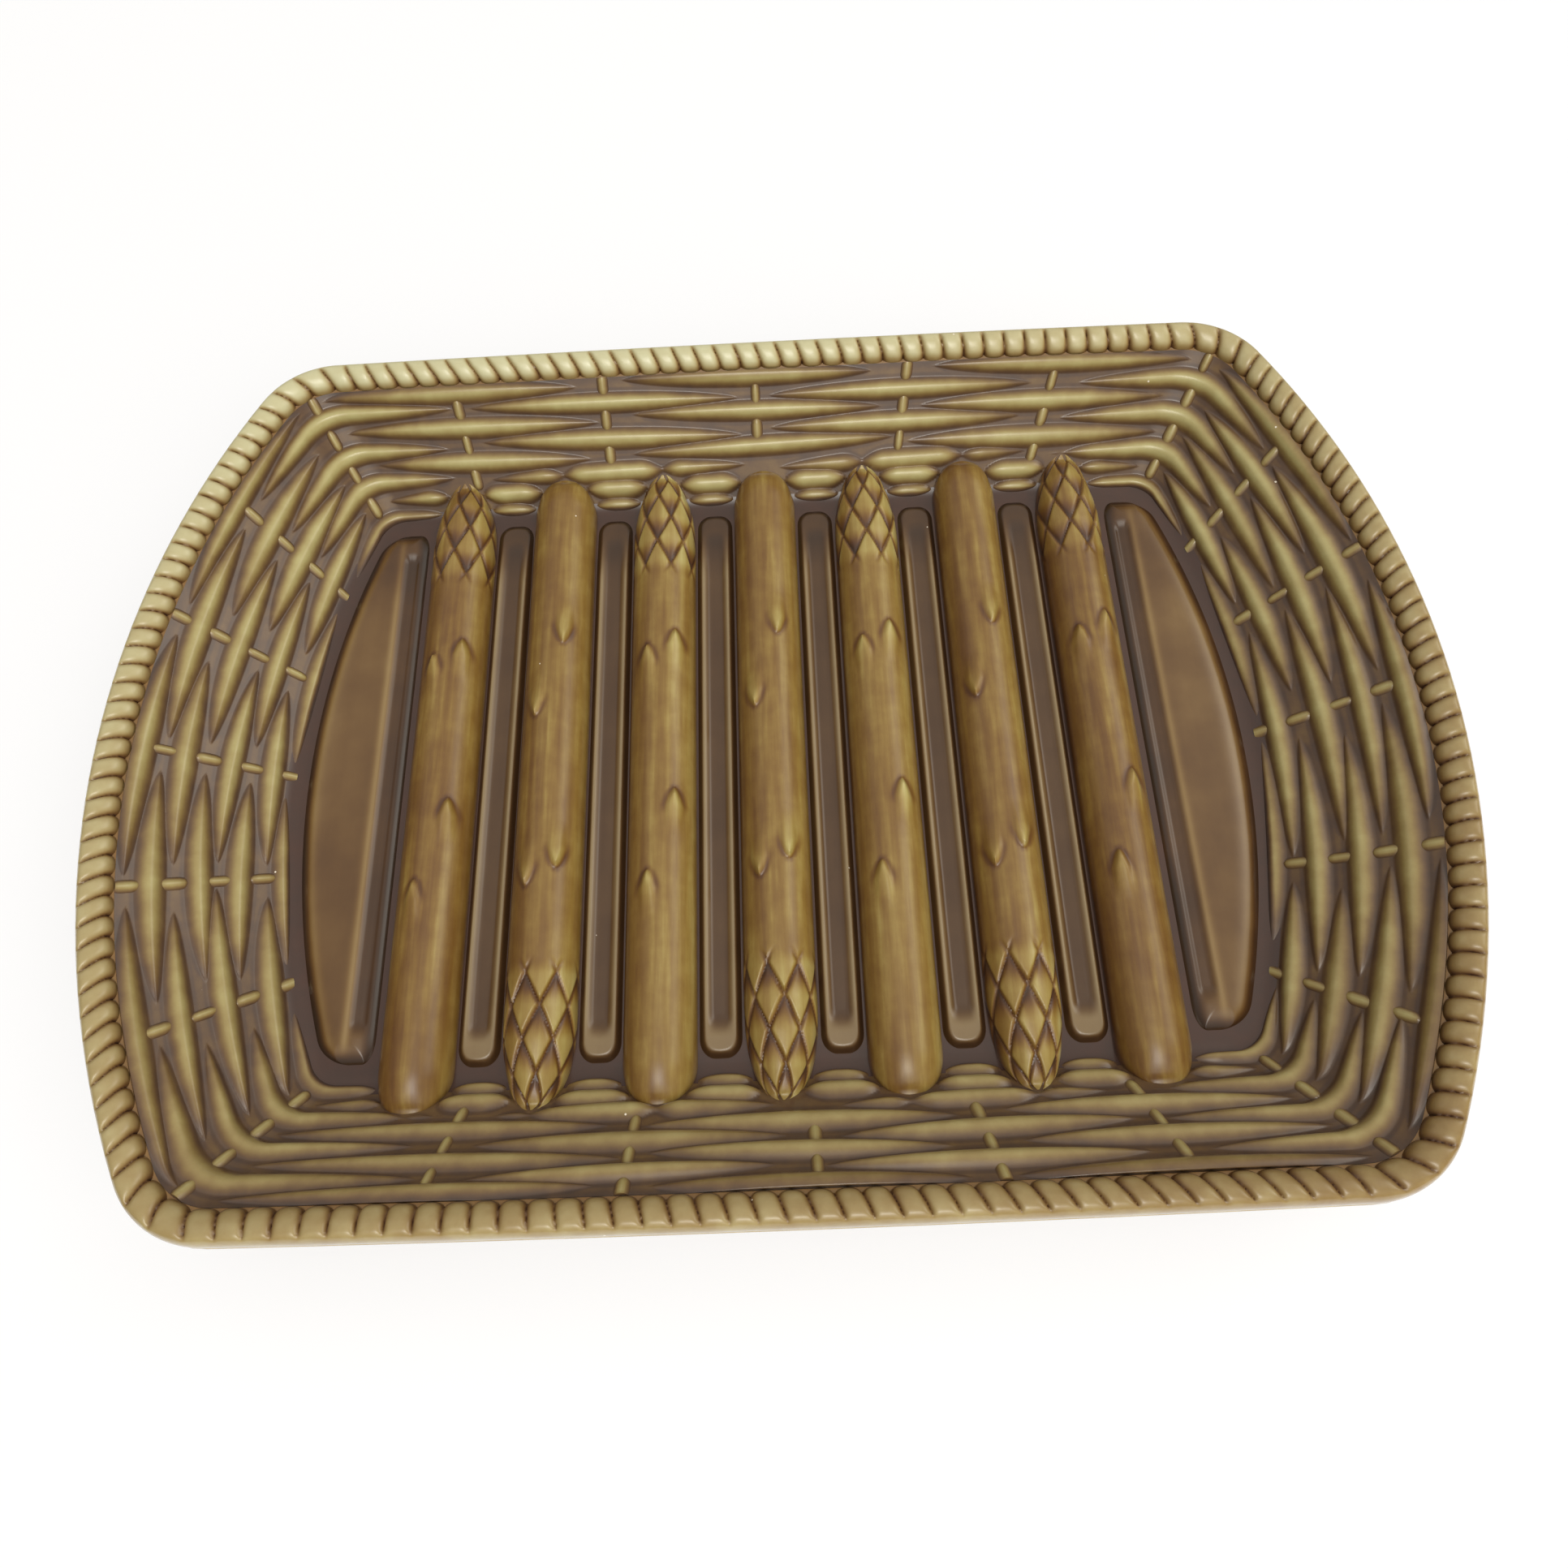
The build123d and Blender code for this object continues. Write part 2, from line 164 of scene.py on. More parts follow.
@dataclass(frozen=True)
class PlateForm:
    """Plan curves and levels that the pieces share, taken from the frame and a few radii."""

    end_radius: float = 262 * MM
    side_radius: float = 11500 * MM
    corner_radius: float = 27 * MM
    rim_width: float = 9 * MM
    end_wall_run: float = 35 * MM
    side_wall_run: float = 31 * MM
    wall_thickness: float = 5 * MM
    flange_thickness: float = 3.5 * MM
    floor_corner_radius: float = 10 * MM
    stakes_per_side: int = 6

    @property
    def stakes(self) -> int:
        """Number of stakes all round."""
        return 4 * self.stakes_per_side

    @cached_property
    def floor_top(self) -> float:
        """Level of the dish's flat floor."""
        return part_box("drain_strip_1")[0].z

    @cached_property
    def flange_top(self) -> float:
        """Level that the rope sits on."""
        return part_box("rope_rim")[0].z

    @cached_property
    def foot_height(self) -> float:
        """Level of the underside inside the foot."""
        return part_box("foot_ring")[1].z

    @cached_property
    def rim_outer(self) -> Outline:
        """Outer edge of the rim."""
        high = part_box("dish_shell")[1]
        return Outline(high.x, high.y, self.end_radius, self.side_radius, self.corner_radius)

    @cached_property
    def rim_inner(self) -> Outline:
        """Top edge of the sloping wall."""
        return self.rim_outer.inset(self.rim_width)

    @cached_property
    def floor_edge(self) -> Outline:
        """Foot of the sloping wall."""
        top = self.rim_inner
        return Outline(top.half_length - self.end_wall_run, top.half_width - self.side_wall_run,
                       self.end_radius, self.side_radius, self.floor_corner_radius)

    def locate(self, station: Array) -> tuple[Array, Array]:
        """Find places counted in stakes round the wall from the near left corner.

        Args:
            station: Places, in stakes.

        Returns:
            The arc that each place is on and the share of the way along it.
        """
        runs = self.rim_inner.lengths()
        side, place = np.divmod(station % self.stakes, self.stakes_per_side)
        side = side.astype(int)
        before, middle, after = (2 * side - 1) % 8, 2 * side, 2 * side + 1
        lead, run, tail = runs[before], runs[middle], runs[after]
        distance = place / self.stakes_per_side * (lead / 2 + run + tail / 2)
        first, last = distance < lead / 2, distance >= lead / 2 + run
        arc = np.where(first, before, np.where(last, after, middle))
        rest = distance - lead / 2
        share = np.where(first, 0.5 + distance / lead, np.where(last, (rest - run) / tail, rest / run))
        return arc, share

    def wall(self, station: Array, rise: Array) -> Array:
        """Points of the bare wall at places round it and shares of the way up it."""
        place = self.locate(station)
        low = with_level(self.floor_edge.at(*place), self.floor_top)
        high = with_level(self.rim_inner.at(*place), self.flange_top)
        return low + (high - low) * np.asarray(rise)[:, None]

    def wall_out(self, station: Array, rise: Array) -> Array:
        """Unit directions out of the wall's surface, smoothed along the wall."""
        step = 0.04
        along = self.wall(station + step, rise) - self.wall(station - step, rise)
        slope = self.wall(station, rise + step) - self.wall(station, rise - step)
        return unit_rows(np.cross(slope, along))

    def slope_length(self, station: Array) -> Array:
        """Length of the wall's slope at places round it."""
        flat = np.zeros(len(station))
        return np.linalg.norm(self.wall(station, flat + 1) - self.wall(station, flat), axis=1)


def unit_rows(rows: Array) -> Array:
    """Vectors scaled to length 1."""
    return rows / np.maximum(np.linalg.norm(rows, axis=1, keepdims=True), 1e-12)


def add_object(name: str, data: bpy.types.ID) -> bpy.types.Object:
    """Put a mesh, lamp or camera into the scene as an object at the origin."""
    added = bpy.data.objects.new(name, data)
    bpy.context.scene.collection.objects.link(added)
    return added


class Laid(NamedTuple):
    """Points of a laid grid, the glaze thickness at each in millimetres (with painted shade and painted light added on
    some pieces), and normals where they are set.
    """

    points: Array
    glaze: Array
    facing: Array | None = None


Layer = Callable[[Array, Array, Array], Laid]


@dataclass(frozen=True)
class LaidGrid:
    """A closed mesh made from grids: faces laid over a formula, closed underneath along a keel line."""

    name: str
    along: int
    across: int
    copies: int = 1
    keeled: bool = True

    def build(self, lay: Layer) -> bpy.types.Object:
        """Lay the grid and close it.

        Args:
            lay: Formula for the copy numbers, the shares along and the shares across. On a keeled
                grid a share across below 0 or above 1 means the keel.

        Returns:
            The new object, at the origin.
        """
        across = self.across + 2 if self.keeled else self.across
        bm = bmesh.new()
        for _ in range(self.copies):
            bmesh.ops.create_grid(bm, x_segments=self.along, y_segments=across, size=0.5)
        mesh = bpy.data.meshes.new(self.name)
        bm.to_mesh(mesh)
        bm.free()
        places = np.empty(3 * len(mesh.vertices))
        mesh.vertices.foreach_get("co", places)
        places = places.reshape(-1, 3) + 0.5
        copy = np.repeat(np.arange(self.copies), len(places) // self.copies)
        line = np.rint(places[:, 1] * across)
        share = (line - 1) / self.across if self.keeled else line / self.across
        laid = lay(copy, np.rint(places[:, 0] * self.along) / self.along, share)
        mesh.vertices.foreach_set("co", laid.points.ravel())
        mesh.attributes.new(GLAZE, "FLOAT", "POINT").data.foreach_set("value", laid.glaze)
        if laid.facing is not None:
            mesh.attributes.new(FACING, "FLOAT_VECTOR", "POINT").data.foreach_set("vector", laid.facing.ravel())
        self._close(mesh)
        return add_object(self.name, mesh)

    @staticmethod
    def _close(mesh: bpy.types.Mesh) -> None:
        """Weld seams and poles, turn the faces outwards and shade them smooth."""
        bm = bmesh.new()
        bm.from_mesh(mesh)
        bmesh.ops.remove_doubles(bm, verts=bm.verts, dist=1e-7)
        bmesh.ops.recalc_face_normals(bm, faces=bm.faces)
        bm.to_mesh(mesh)
        bm.free()
        mesh.polygons.foreach_set("use_smooth", np.ones(len(mesh.polygons), bool))
        facing = mesh.attributes.get(FACING)
        if facing:
            normals = np.empty(3 * len(mesh.vertices))
            facing.data.foreach_get("vector", normals)
            mesh.normals_split_custom_set_from_vertices(normals.reshape(-1, 3))
            mesh.attributes.remove(mesh.attributes[FACING])
        else:
            mesh.set_sharp_from_angle(angle=math.radians(50))


def swept(name: str, table: Array, glaze: Array) -> bpy.types.Object:
    """Join closed loops of points into one skin.

    Args:
        name: The object's name.
        table: Points, by loop and by place round it.
        glaze: Glaze thickness of each loop.

    Returns:
        The new object.
    """
    grid = LaidGrid(name, table.shape[1] - 1, len(table) - 1, keeled=False)

    def lay(_: Array, along: Array, across: Array) -> Laid:
        """Take each point from its loop."""
        line = np.rint(across * grid.across).astype(int)
        return Laid(table[line, np.rint(along * grid.along).astype(int)], glaze[line])

    return grid.build(lay)


class Value:
    """A shader value; Python arithmetic on it adds Math nodes."""

    def __init__(self, board: "NodeBoard", socket: bpy.types.NodeSocket) -> None:
        """Wrap an output socket of a board."""
        self.board = board
        self.socket = socket

    def math(self, operation: str, *others: "Value | float", first: bool = True) -> "Value":
        """Add a Math node.

        Args:
            operation: The node's operation.
            others: The other operands.
            first: Whether this value comes before the others.

        Returns:
            The node's result.
        """
        terms = (self, *others) if first else (*others, self)
        node = self.board.node("ShaderNodeMath", {"operation": operation}, dict(enumerate(terms)))
        return Value(self.board, node.outputs[0])

    def __add__(self, other: "Value | float") -> "Value":
        """Sum."""
        return self.math("ADD", other)

    __radd__ = __add__

    def __mul__(self, other: "Value | float") -> "Value":
        """Product."""
        return self.math("MULTIPLY", other)

    __rmul__ = __mul__

    def __sub__(self, other: "Value | float") -> "Value":
        """Difference."""
        return self.math("SUBTRACT", other)

    def __rsub__(self, other: float) -> "Value":
        """Difference from a number."""
        return self.math("SUBTRACT", other, first=False)

    def __lt__(self, other: float) -> "Value":
        """1 where the value is below a number, otherwise 0."""
        return self.math("LESS_THAN", other)

    def exp(self) -> "Value":
        """Natural exponential."""
        return self.math("EXPONENT")

    def at_least(self, low: float) -> "Value":
        """The value, or low where that is larger."""
        return self.math("MAXIMUM", low)


class NodeBoard:
    """A node tree that is filled by one method."""

    def __init__(self, tree: bpy.types.NodeTree) -> None:
        """Start with an empty tree."""
        tree.nodes.clear()
        self.tree = tree

    def node(self, kind: str, settings: dict[str, Any] | None = None,
             inputs: dict[str | int, Any] | None = None) -> bpy.types.Node:
        """Add a node.

        Args:
            kind: The node's type.
            settings: Its settings, which are set first.
            inputs: Values, or links from other nodes, for its sockets.

        Returns:
            The new node.
        """
        node = self.tree.nodes.new(kind)
        for name, setting in (settings or {}).items():
            setattr(node, name, setting)
        for name, given in (inputs or {}).items():
            source = given.socket if isinstance(given, Value) else given
            if isinstance(source, bpy.types.NodeSocket):
                self.tree.links.new(source, node.inputs[name])
            else:
                node.inputs[name].default_value = source
        return node

    def value(self, kind: str, output: str | int, settings: dict[str, Any] | None = None,
              inputs: dict[str | int, Any] | None = None) -> Value:
        """Add a node and take one of its outputs as a value."""
        return Value(self, self.node(kind, settings, inputs).outputs[output])

    def noise(self, place: bpy.types.NodeSocket, scale: Colour, detail: float) -> Value:
        """Noise about zero, from -0.5 to 0.5, with its own scale per metre along each axis."""
        mapped = self.node("ShaderNodeMapping", {}, {"Vector": place, "Scale": scale})
        return self.value("ShaderNodeTexNoise", 0, {}, {"Vector": mapped.outputs[0], "Scale": 1.0,
                                                        "Detail": detail}) - 0.5

    def rays(self, *kinds: str) -> Value:
        """1 for rays of the named kinds, otherwise 0."""
        path = self.node("ShaderNodeLightPath")
        first, *others = (Value(self, path.outputs[f"Is {kind} Ray"]) for kind in kinds)
        return sum(others, first)

    def mix(self, factor: Value, first: Any, second: Any) -> bpy.types.NodeSocket:
        """Blend two colours."""
        node = self.node("ShaderNodeMix", {"data_type": "RGBA"}, {0: factor, 6: first, 7: second})
        return node.outputs[2]


def start_material(name: str) -> tuple[bpy.types.Material, NodeBoard]:
    """Start an empty material and the board that fills it."""
    material = bpy.data.materials.new(name)
    material.use_nodes = True
    return material, NodeBoard(material.node_tree)


@dataclass(frozen=True)
class GlazeFinish:
    """Translucent amber glaze over pale clay: gold where it is thin, near black where it pools."""

    name: str
    body: Colour = (0.7, 0.79, 0.5)
    absorbed_per_mm: Colour = (2.5, 4.2, 6.8)
    pooled: Colour = (0.03, 0.022, 0.017)
    mottle: float = 0.35
    mottle_scale: float = 160.0
    streak: float = 0.0
    roughness: float = 0.34
    coat_roughness: float = 0.13
    thinnest_mm: float = 0.02
    ripple_scale: float = 420.0
    ripple_strength: float = 0.22
    speck_colour: Colour = (0.78, 0.72, 0.6)
    specks_per_metre: float = 95.0
    speck_radius: float = 0.03
    speck_share: float = 0.3

    def material(self) -> bpy.types.Material:
        """Make the material.

        Returns:
            A material that reads each piece's glaze thickness, which also carries painted shade and painted light on
            some pieces, and adds mottling, streaks and specks.
        """
        material, board = start_material(self.name)
        place = board.node("ShaderNodeTexCoord").outputs["Object"]
        scale = self.mottle_scale
        clouds = board.noise(place, 3 * (scale,), 4.0)
        runs = board.noise(place, (scale * 2.4, scale * 0.16, scale), 5.0)
        laid = board.value("ShaderNodeAttribute", "Fac", {"attribute_name": GLAZE})
        thick = (laid * (1 + clouds * self.mottle + runs * self.streak)).at_least(self.thinnest_mm)
        shares = []
        for clear, rate, deep in zip(self.body, self.absorbed_per_mm, self.pooled):
            shares.append(deep + (clear - deep) * (thick * -rate).exp())
        colour = board.node("ShaderNodeCombineColor", {}, dict(enumerate(shares)))
        cells = board.node("ShaderNodeTexVoronoi", {"feature": "F1"}, {"Vector": place,
                                                                                "Scale": self.specks_per_metre})
        drawn = board.node("ShaderNodeSeparateColor", {}, {0: cells.outputs["Color"]})
        specks = Value(board, cells.outputs["Distance"]) < self.speck_radius
        specks *= Value(board, drawn.outputs[0]) < self.speck_share
        ripple = board.noise(place, 3 * (self.ripple_scale,), 2.0)
        bump = board.node("ShaderNodeBump", {}, {"Strength": self.ripple_strength, "Distance": 0.5 * MM,
                                                 "Height": ripple})
        shader = board.node("ShaderNodeBsdfPrincipled", {}, {
            "Base Color": board.mix(specks, colour.outputs[0], (*self.speck_colour, 1.0)),
            "Roughness": self.roughness + clouds * 0.12, "Normal": bump.outputs[0],
            "Specular IOR Level": 0.1, "Coat Weight": 1.0, "Coat Roughness": self.coat_roughness, "Coat IOR": 1.5})
        board.node("ShaderNodeOutputMaterial", {}, {"Surface": shader.outputs[0]})
        return material


@dataclass(frozen=True)
class ClayFinish:
    """Bare fired clay, buff and grainy."""

    name: str
    colour: Colour = (0.62, 0.49, 0.32)
    worn: Colour = (0.42, 0.31, 0.2)
    patch_scale: float = 90.0
    grain_scale: float = 1500.0

    def material(self) -> bpy.types.Material:
        """Make the material.

        Returns:
            A rough material with a fine grain and worn patches.
        """
        material, board = start_material(self.name)
        place = board.node("ShaderNodeTexCoord").outputs["Object"]
        wear = (board.noise(place, 3 * (self.patch_scale,), 5.0) * 2.2 + 0.35).at_least(0.0)
        grain = board.noise(place, 3 * (self.grain_scale,), 3.0)
        bump = board.node("ShaderNodeBump", {}, {"Strength": 0.5, "Distance": 0.3 * MM, "Height": grain})
        shader = board.node("ShaderNodeBsdfPrincipled", {}, {
            "Base Color": board.mix(wear, (*self.colour, 1.0), (*self.worn, 1.0)),
            "Roughness": 0.8 + grain * 0.2, "Normal": bump.outputs[0]})
        board.node("ShaderNodeOutputMaterial", {}, {"Surface": shader.outputs[0]})
        return material


@dataclass
class Piece:
    """One piece of the plate, which stands for CAD nodes."""

    form: PlateForm
    name: str
    nodes: tuple[str, ...]
    slot: str

    def shape(self) -> bpy.types.Object:
        """Build the piece's mesh."""
        raise NotImplementedError

    def make(self, finish: bpy.types.Material) -> bpy.types.Object:
        """Build the piece, dress it and fix it to the plate's body.

        Args:
            finish: The piece's material.

        Returns:
            The finished piece.
        """
        piece = self.shape()
        piece.data.materials.append(finish)
        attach(piece, BODY)
        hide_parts(*self.nodes)
        LOG.info("%s: %d faces", piece.name, len(piece.data.polygons))
        return piece


@dataclass
class Shell(Piece):
    """Floor, sloping wall and flange, in one shell with a rounded lip."""

    lip_round: float = 1.7 * MM
    base_round: float = 3 * MM
    foot_round: float = 12 * MM
    round_steps: int = 6
    stations: int = 480
    floor_glaze: float = 1.3
    wall_foot_glaze: float = 1.4
    wall_glaze: float = 0.5
    lip_glaze: float = 0.26
    base_glaze: float = 0.42

    def _rings(self) -> list[tuple[Outline, float, float]]:
        """Section of the shell, from the middle of the floor over the rim to the middle of the underside.

        Returns:
            Plan curve, level and glaze thickness of each ring.
        """
        form = self.form
        top, rim = form.flange_top, form.rim_outer
        low_lip = top - form.flange_thickness
        rise = top - form.floor_top
        drops = [math.hypot(run, rise) / rise * form.wall_thickness for run in
                 (form.end_wall_run, form.side_wall_run)]
        slopes = [form.end_wall_run / rise, form.side_wall_run / rise]
        floor_thickness = form.floor_top - form.foot_height
        base = form.floor_edge.grown(drops[0] - floor_thickness * slopes[0], drops[1] - floor_thickness * slopes[1],
                                     form.floor_corner_radius + form.wall_thickness)
        shoulder = form.rim_inner.grown(drops[0] - form.flange_thickness * slopes[0],
                                        drops[1] - form.flange_thickness * slopes[1],
                                        form.rim_inner.corner_radius + form.wall_thickness)
        angle = math.atan2(rise, (form.end_wall_run + form.side_wall_run) / 2)
        start = self.foot_round * math.tan(angle / 2)
        rings = [(form.floor_edge.inset(2 * start), form.floor_top, self.floor_glaze)]
        for step in range(self.round_steps + 1):
            turn = angle * step / self.round_steps
            out = self.foot_round * math.sin(turn) - start
            ring = form.floor_edge.grown(out, out, form.floor_corner_radius)
            level = form.floor_top + self.foot_round * (1 - math.cos(turn))
            rings.append((ring, level, self.wall_foot_glaze))
        rings.append((form.rim_inner, top, self.wall_glaze))
        middle = (top + low_lip) / 2
        for step in range(2 * self.round_steps + 1):
            angle = math.pi / 2 * (1 - step / self.round_steps)
            level = middle + (top - low_lip) / 2 * math.sin(angle)
            rings.append((rim.inset(self.lip_round * (1 - math.cos(angle))), level, self.lip_glaze))
        rings.append((shoulder, low_lip, self.wall_glaze))
        for step in range(self.round_steps + 1):
            angle = math.pi / 2 * step / self.round_steps
            inset = self.base_round * (1 - math.cos(angle))
            level = form.foot_height + self.base_round * 0.7 * (1 - math.sin(angle))
            rings.append((base.inset(inset), level, self.base_glaze))
        return rings

    def shape(self) -> bpy.types.Object:
        """Sweep the section round the plate."""
        rings = self._rings()
        place = self.form.locate(np.linspace(0, self.form.stakes, self.stations + 1))
        loops = [with_level(outline.at(*place), level) for outline, level, _ in rings]
        first = with_level(np.zeros((self.stations + 1, 2)), rings[0][1])
        last = with_level(np.zeros((self.stations + 1, 2)), rings[-1][1])
        table = np.stack([first, *loops, last])
        glaze = np.array([rings[0][2], *[ring[2] for ring in rings], rings[-1][2]])
        return swept(self.name, table, glaze)


@dataclass
class FootRing(Piece):
    """The low bare ring that the plate stands on."""

    width: float = 7 * MM
    inset: float = 10 * MM
    corner_radius: float = 16 * MM
    edge_round: float = 1.2 * MM
    stations: int = 360

    def shape(self) -> bpy.types.Object:
        """Sweep a section with rounded lower edges round the floor."""
        form = self.form
        outer = form.floor_edge.grown(-self.inset, -self.inset, self.corner_radius)
        place = form.locate(np.linspace(0, form.stakes, self.stations + 1))
        turns = np.linspace(0, math.pi / 2, 5)
        edge = [(self.edge_round * (1 - math.cos(turn)), self.edge_round * (1 - math.sin(turn))) for turn in turns]
        section = [(0.0, form.foot_height), *edge]
        section += [(self.width - inset, level) for inset, level in reversed(section)]
        section.append(section[0])
        table = np.stack([with_level(outer.inset(inset).at(*place), level) for inset, level in section])
        return swept(self.name, table, np.zeros(len(table)))


@dataclass
class RopeRim(Piece):
    """Twisted rope on the flange: slanted pillow lobes that fade into a plain outer lip."""

    lobes_per_side: int = 44
    steps_per_lobe: int = 16
    slant: float = 0.42
    slant_swing: float = 0.3
    groove_depth: float = 1.5 * MM
    scallop: float = 1.7 * MM
    crest_share: float = 0.7
    inner_lean: float = 0.55
    lip_start: float = 0.66
    lip_end: float = 0.9
    outer_gap: float = 0.15 * MM
    thin: float = 0.2
    groove_glaze: float = 0.8
    foot_pool_and_painted_shade: float = 0.3
    lobe_end_glaze: float = 0.12
    # Painted shade and light by side: extra glaze darkens the right and near rope, less glaze lightens the far rope.
    right_painted_shade: float = 0.13
    near_painted_shade: float = 0.115

    def _lobes(self, turn: Array, across: Array) -> tuple[Array, Array, Array]:
        """Shape of the lobes.

        Args:
            turn: Place round the rim, in lobes.
            across: Share of the way from the rope's inner foot to its outer foot.

        Returns:
            How deep each place lies in a groove, how far lobe ends are rounded back there, and how much of the
            lobes is left before they fade into the lip.
        """
        round_side = 2 * np.pi * turn / self.lobes_per_side
        swing = np.sin(round_side) + 0.35 * np.sin(2 * round_side)
        lead = (self.slant - self.slant_swing * swing) / 2
        phase = turn - lead * (2 * across - 1)
        off = 1 - 2 * np.abs(phase - np.rint(phase))
        groove = 1 - np.clip(1 - off ** (2.3 + 3.2 * across), 0, 1) ** 0.62
        back = 1 - np.sqrt(np.clip(1 - off ** 2.4, 0, 1))
        return groove, back, 1 - smoothstep(self.lip_start, self.lip_end, across)

    def shape(self) -> bpy.types.Object:
        """Lay the rope along the rim."""
        form = self.form
        lobes = 4 * self.lobes_per_side
        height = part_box("rope_rim")[1].z - form.flange_top
        outer = form.rim_outer.inset(self.outer_gap)
        grid = LaidGrid(self.name, lobes * self.steps_per_lobe, 24)

        def lay(_: Array, along: Array, across: Array) -> Laid:
            """Place the rope's surface."""
            keel = (across < 0) | (across > 1)
            share = np.where(keel, 0.5, np.clip(across, 0, 1))
            wide = 0.5 - 0.5 * np.cos(np.pi * share)
            place = form.locate(along * form.stakes)
            groove, back, deep = self._lobes(along * lobes, wide)
            within = wide < self.crest_share
            side = np.where(within, (self.crest_share - wide) / self.crest_share,
                            (wide - self.crest_share) / (1 - self.crest_share))
            lean, power = np.where(within, self.inner_lean, 0.0), np.where(within, 14.0, 2.2)
            profile = (1 - lean * side ** 2) * np.sqrt(np.clip(1 - side ** power, 0, 1))
            lift = height * profile - self.groove_depth * deep * groove * profile
            inner_plan, outer_plan = form.rim_inner.at(*place), outer.at(*place)
            inward = unit_rows(outer_plan - inner_plan)
            plan = inner_plan + (outer_plan - inner_plan) * wide[:, None]
            plan += inward * (self.scallop * back * np.clip(1 - wide / 0.5, 0, 1))[:, None]
            level = form.flange_top + np.where(keel, 0, lift) - 0.1 * MM
            inner = np.clip(1 - wide / self.crest_share, 0, 1)
            # Painted shade and light by side: thicker glaze darkens the right and near rope, thinner glaze lightens the
            # far rope.
            glaze = self.thin + self.right_painted_shade * np.clip(plan[:, 0] / outer.half_length, 0, 1)
            glaze -= self.near_painted_shade * plan[:, 1] / outer.half_width
            glaze += self.groove_glaze * deep * groove ** 1.6
            # Pooled glaze plus painted shade darkens the rope's inner foot where it meets the wall; the lobe ends get
            # pooled glaze.
            glaze += self.foot_pool_and_painted_shade * inner ** 18 + self.lobe_end_glaze * back * inner
            return Laid(with_level(plan, level), glaze)

        return grid.build(lay)


@dataclass(frozen=True)
class SpearForm:
    """Sizes of the moulded spears and where they lie."""

    form: PlateForm
    count: int = 7
    height: float = 10 * MM
    glaze: tuple[float, ...] = (0.62, 0.56, 0.51, 0.54, 0.51, 0.56, 0.62)
    butt_round: float = 12 * MM
    tip_length: float = 28 * MM
    end_lift: float = 1.2 * MM

    @cached_property
    def half_width(self) -> float:
        """Half the width of a spear."""
        low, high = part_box("asparagus_spear_1")
        return (high.x - low.x) / 2

    @cached_property
    def reach(self) -> float:
        """Half the length of a spear."""
        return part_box("asparagus_spear_1")[1].y

    def middle(self, index: int) -> float:
        """Place of a spear along the plate."""
        low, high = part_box(f"asparagus_spear_{index}")
        return (low.x + high.x) / 2

    def heading(self, index: int) -> Heading:
        """Where a spear's tip points."""
        return Heading.FAR if index % 2 else Heading.NEAR

    def width_share(self, place: Array) -> Array:
        """Width as a share of the full width, at distances from the middle towards the tip."""
        butt = np.clip((place + self.reach) / self.butt_round, 0, 1)
        taper = np.clip((place - self.reach + self.tip_length) / self.tip_length, 0, 1)
        return (1 - (1 - butt) ** 2.1) ** 0.5 * (1 - taper ** 2.5) ** 0.5

    def bed(self, x: Array, y: Array) -> Array:
        """Level of the floor or of the wall's foot under a spear."""
        past = np.abs(y) - self.form.floor_edge.side_y(x)
        rise = (self.form.flange_top - self.form.floor_top) / self.form.side_wall_run
        return self.form.floor_top + np.maximum(past, 0) * rise

    def clear(self, x: Array, y: Array) -> Array:
        """Distance in plan from the nearest spear."""
        nearest = np.full(len(x), np.inf)
        for index in range(1, self.count + 1):
            place = y * self.heading(index).value
            half = self.half_width * self.width_share(np.clip(place, -self.reach, self.reach))
            aside = np.maximum(np.abs(x - self.middle(index)) - half, 0)
            nearest = np.minimum(nearest, np.hypot(aside, np.maximum(np.abs(y) - self.reach, 0)))
        return nearest


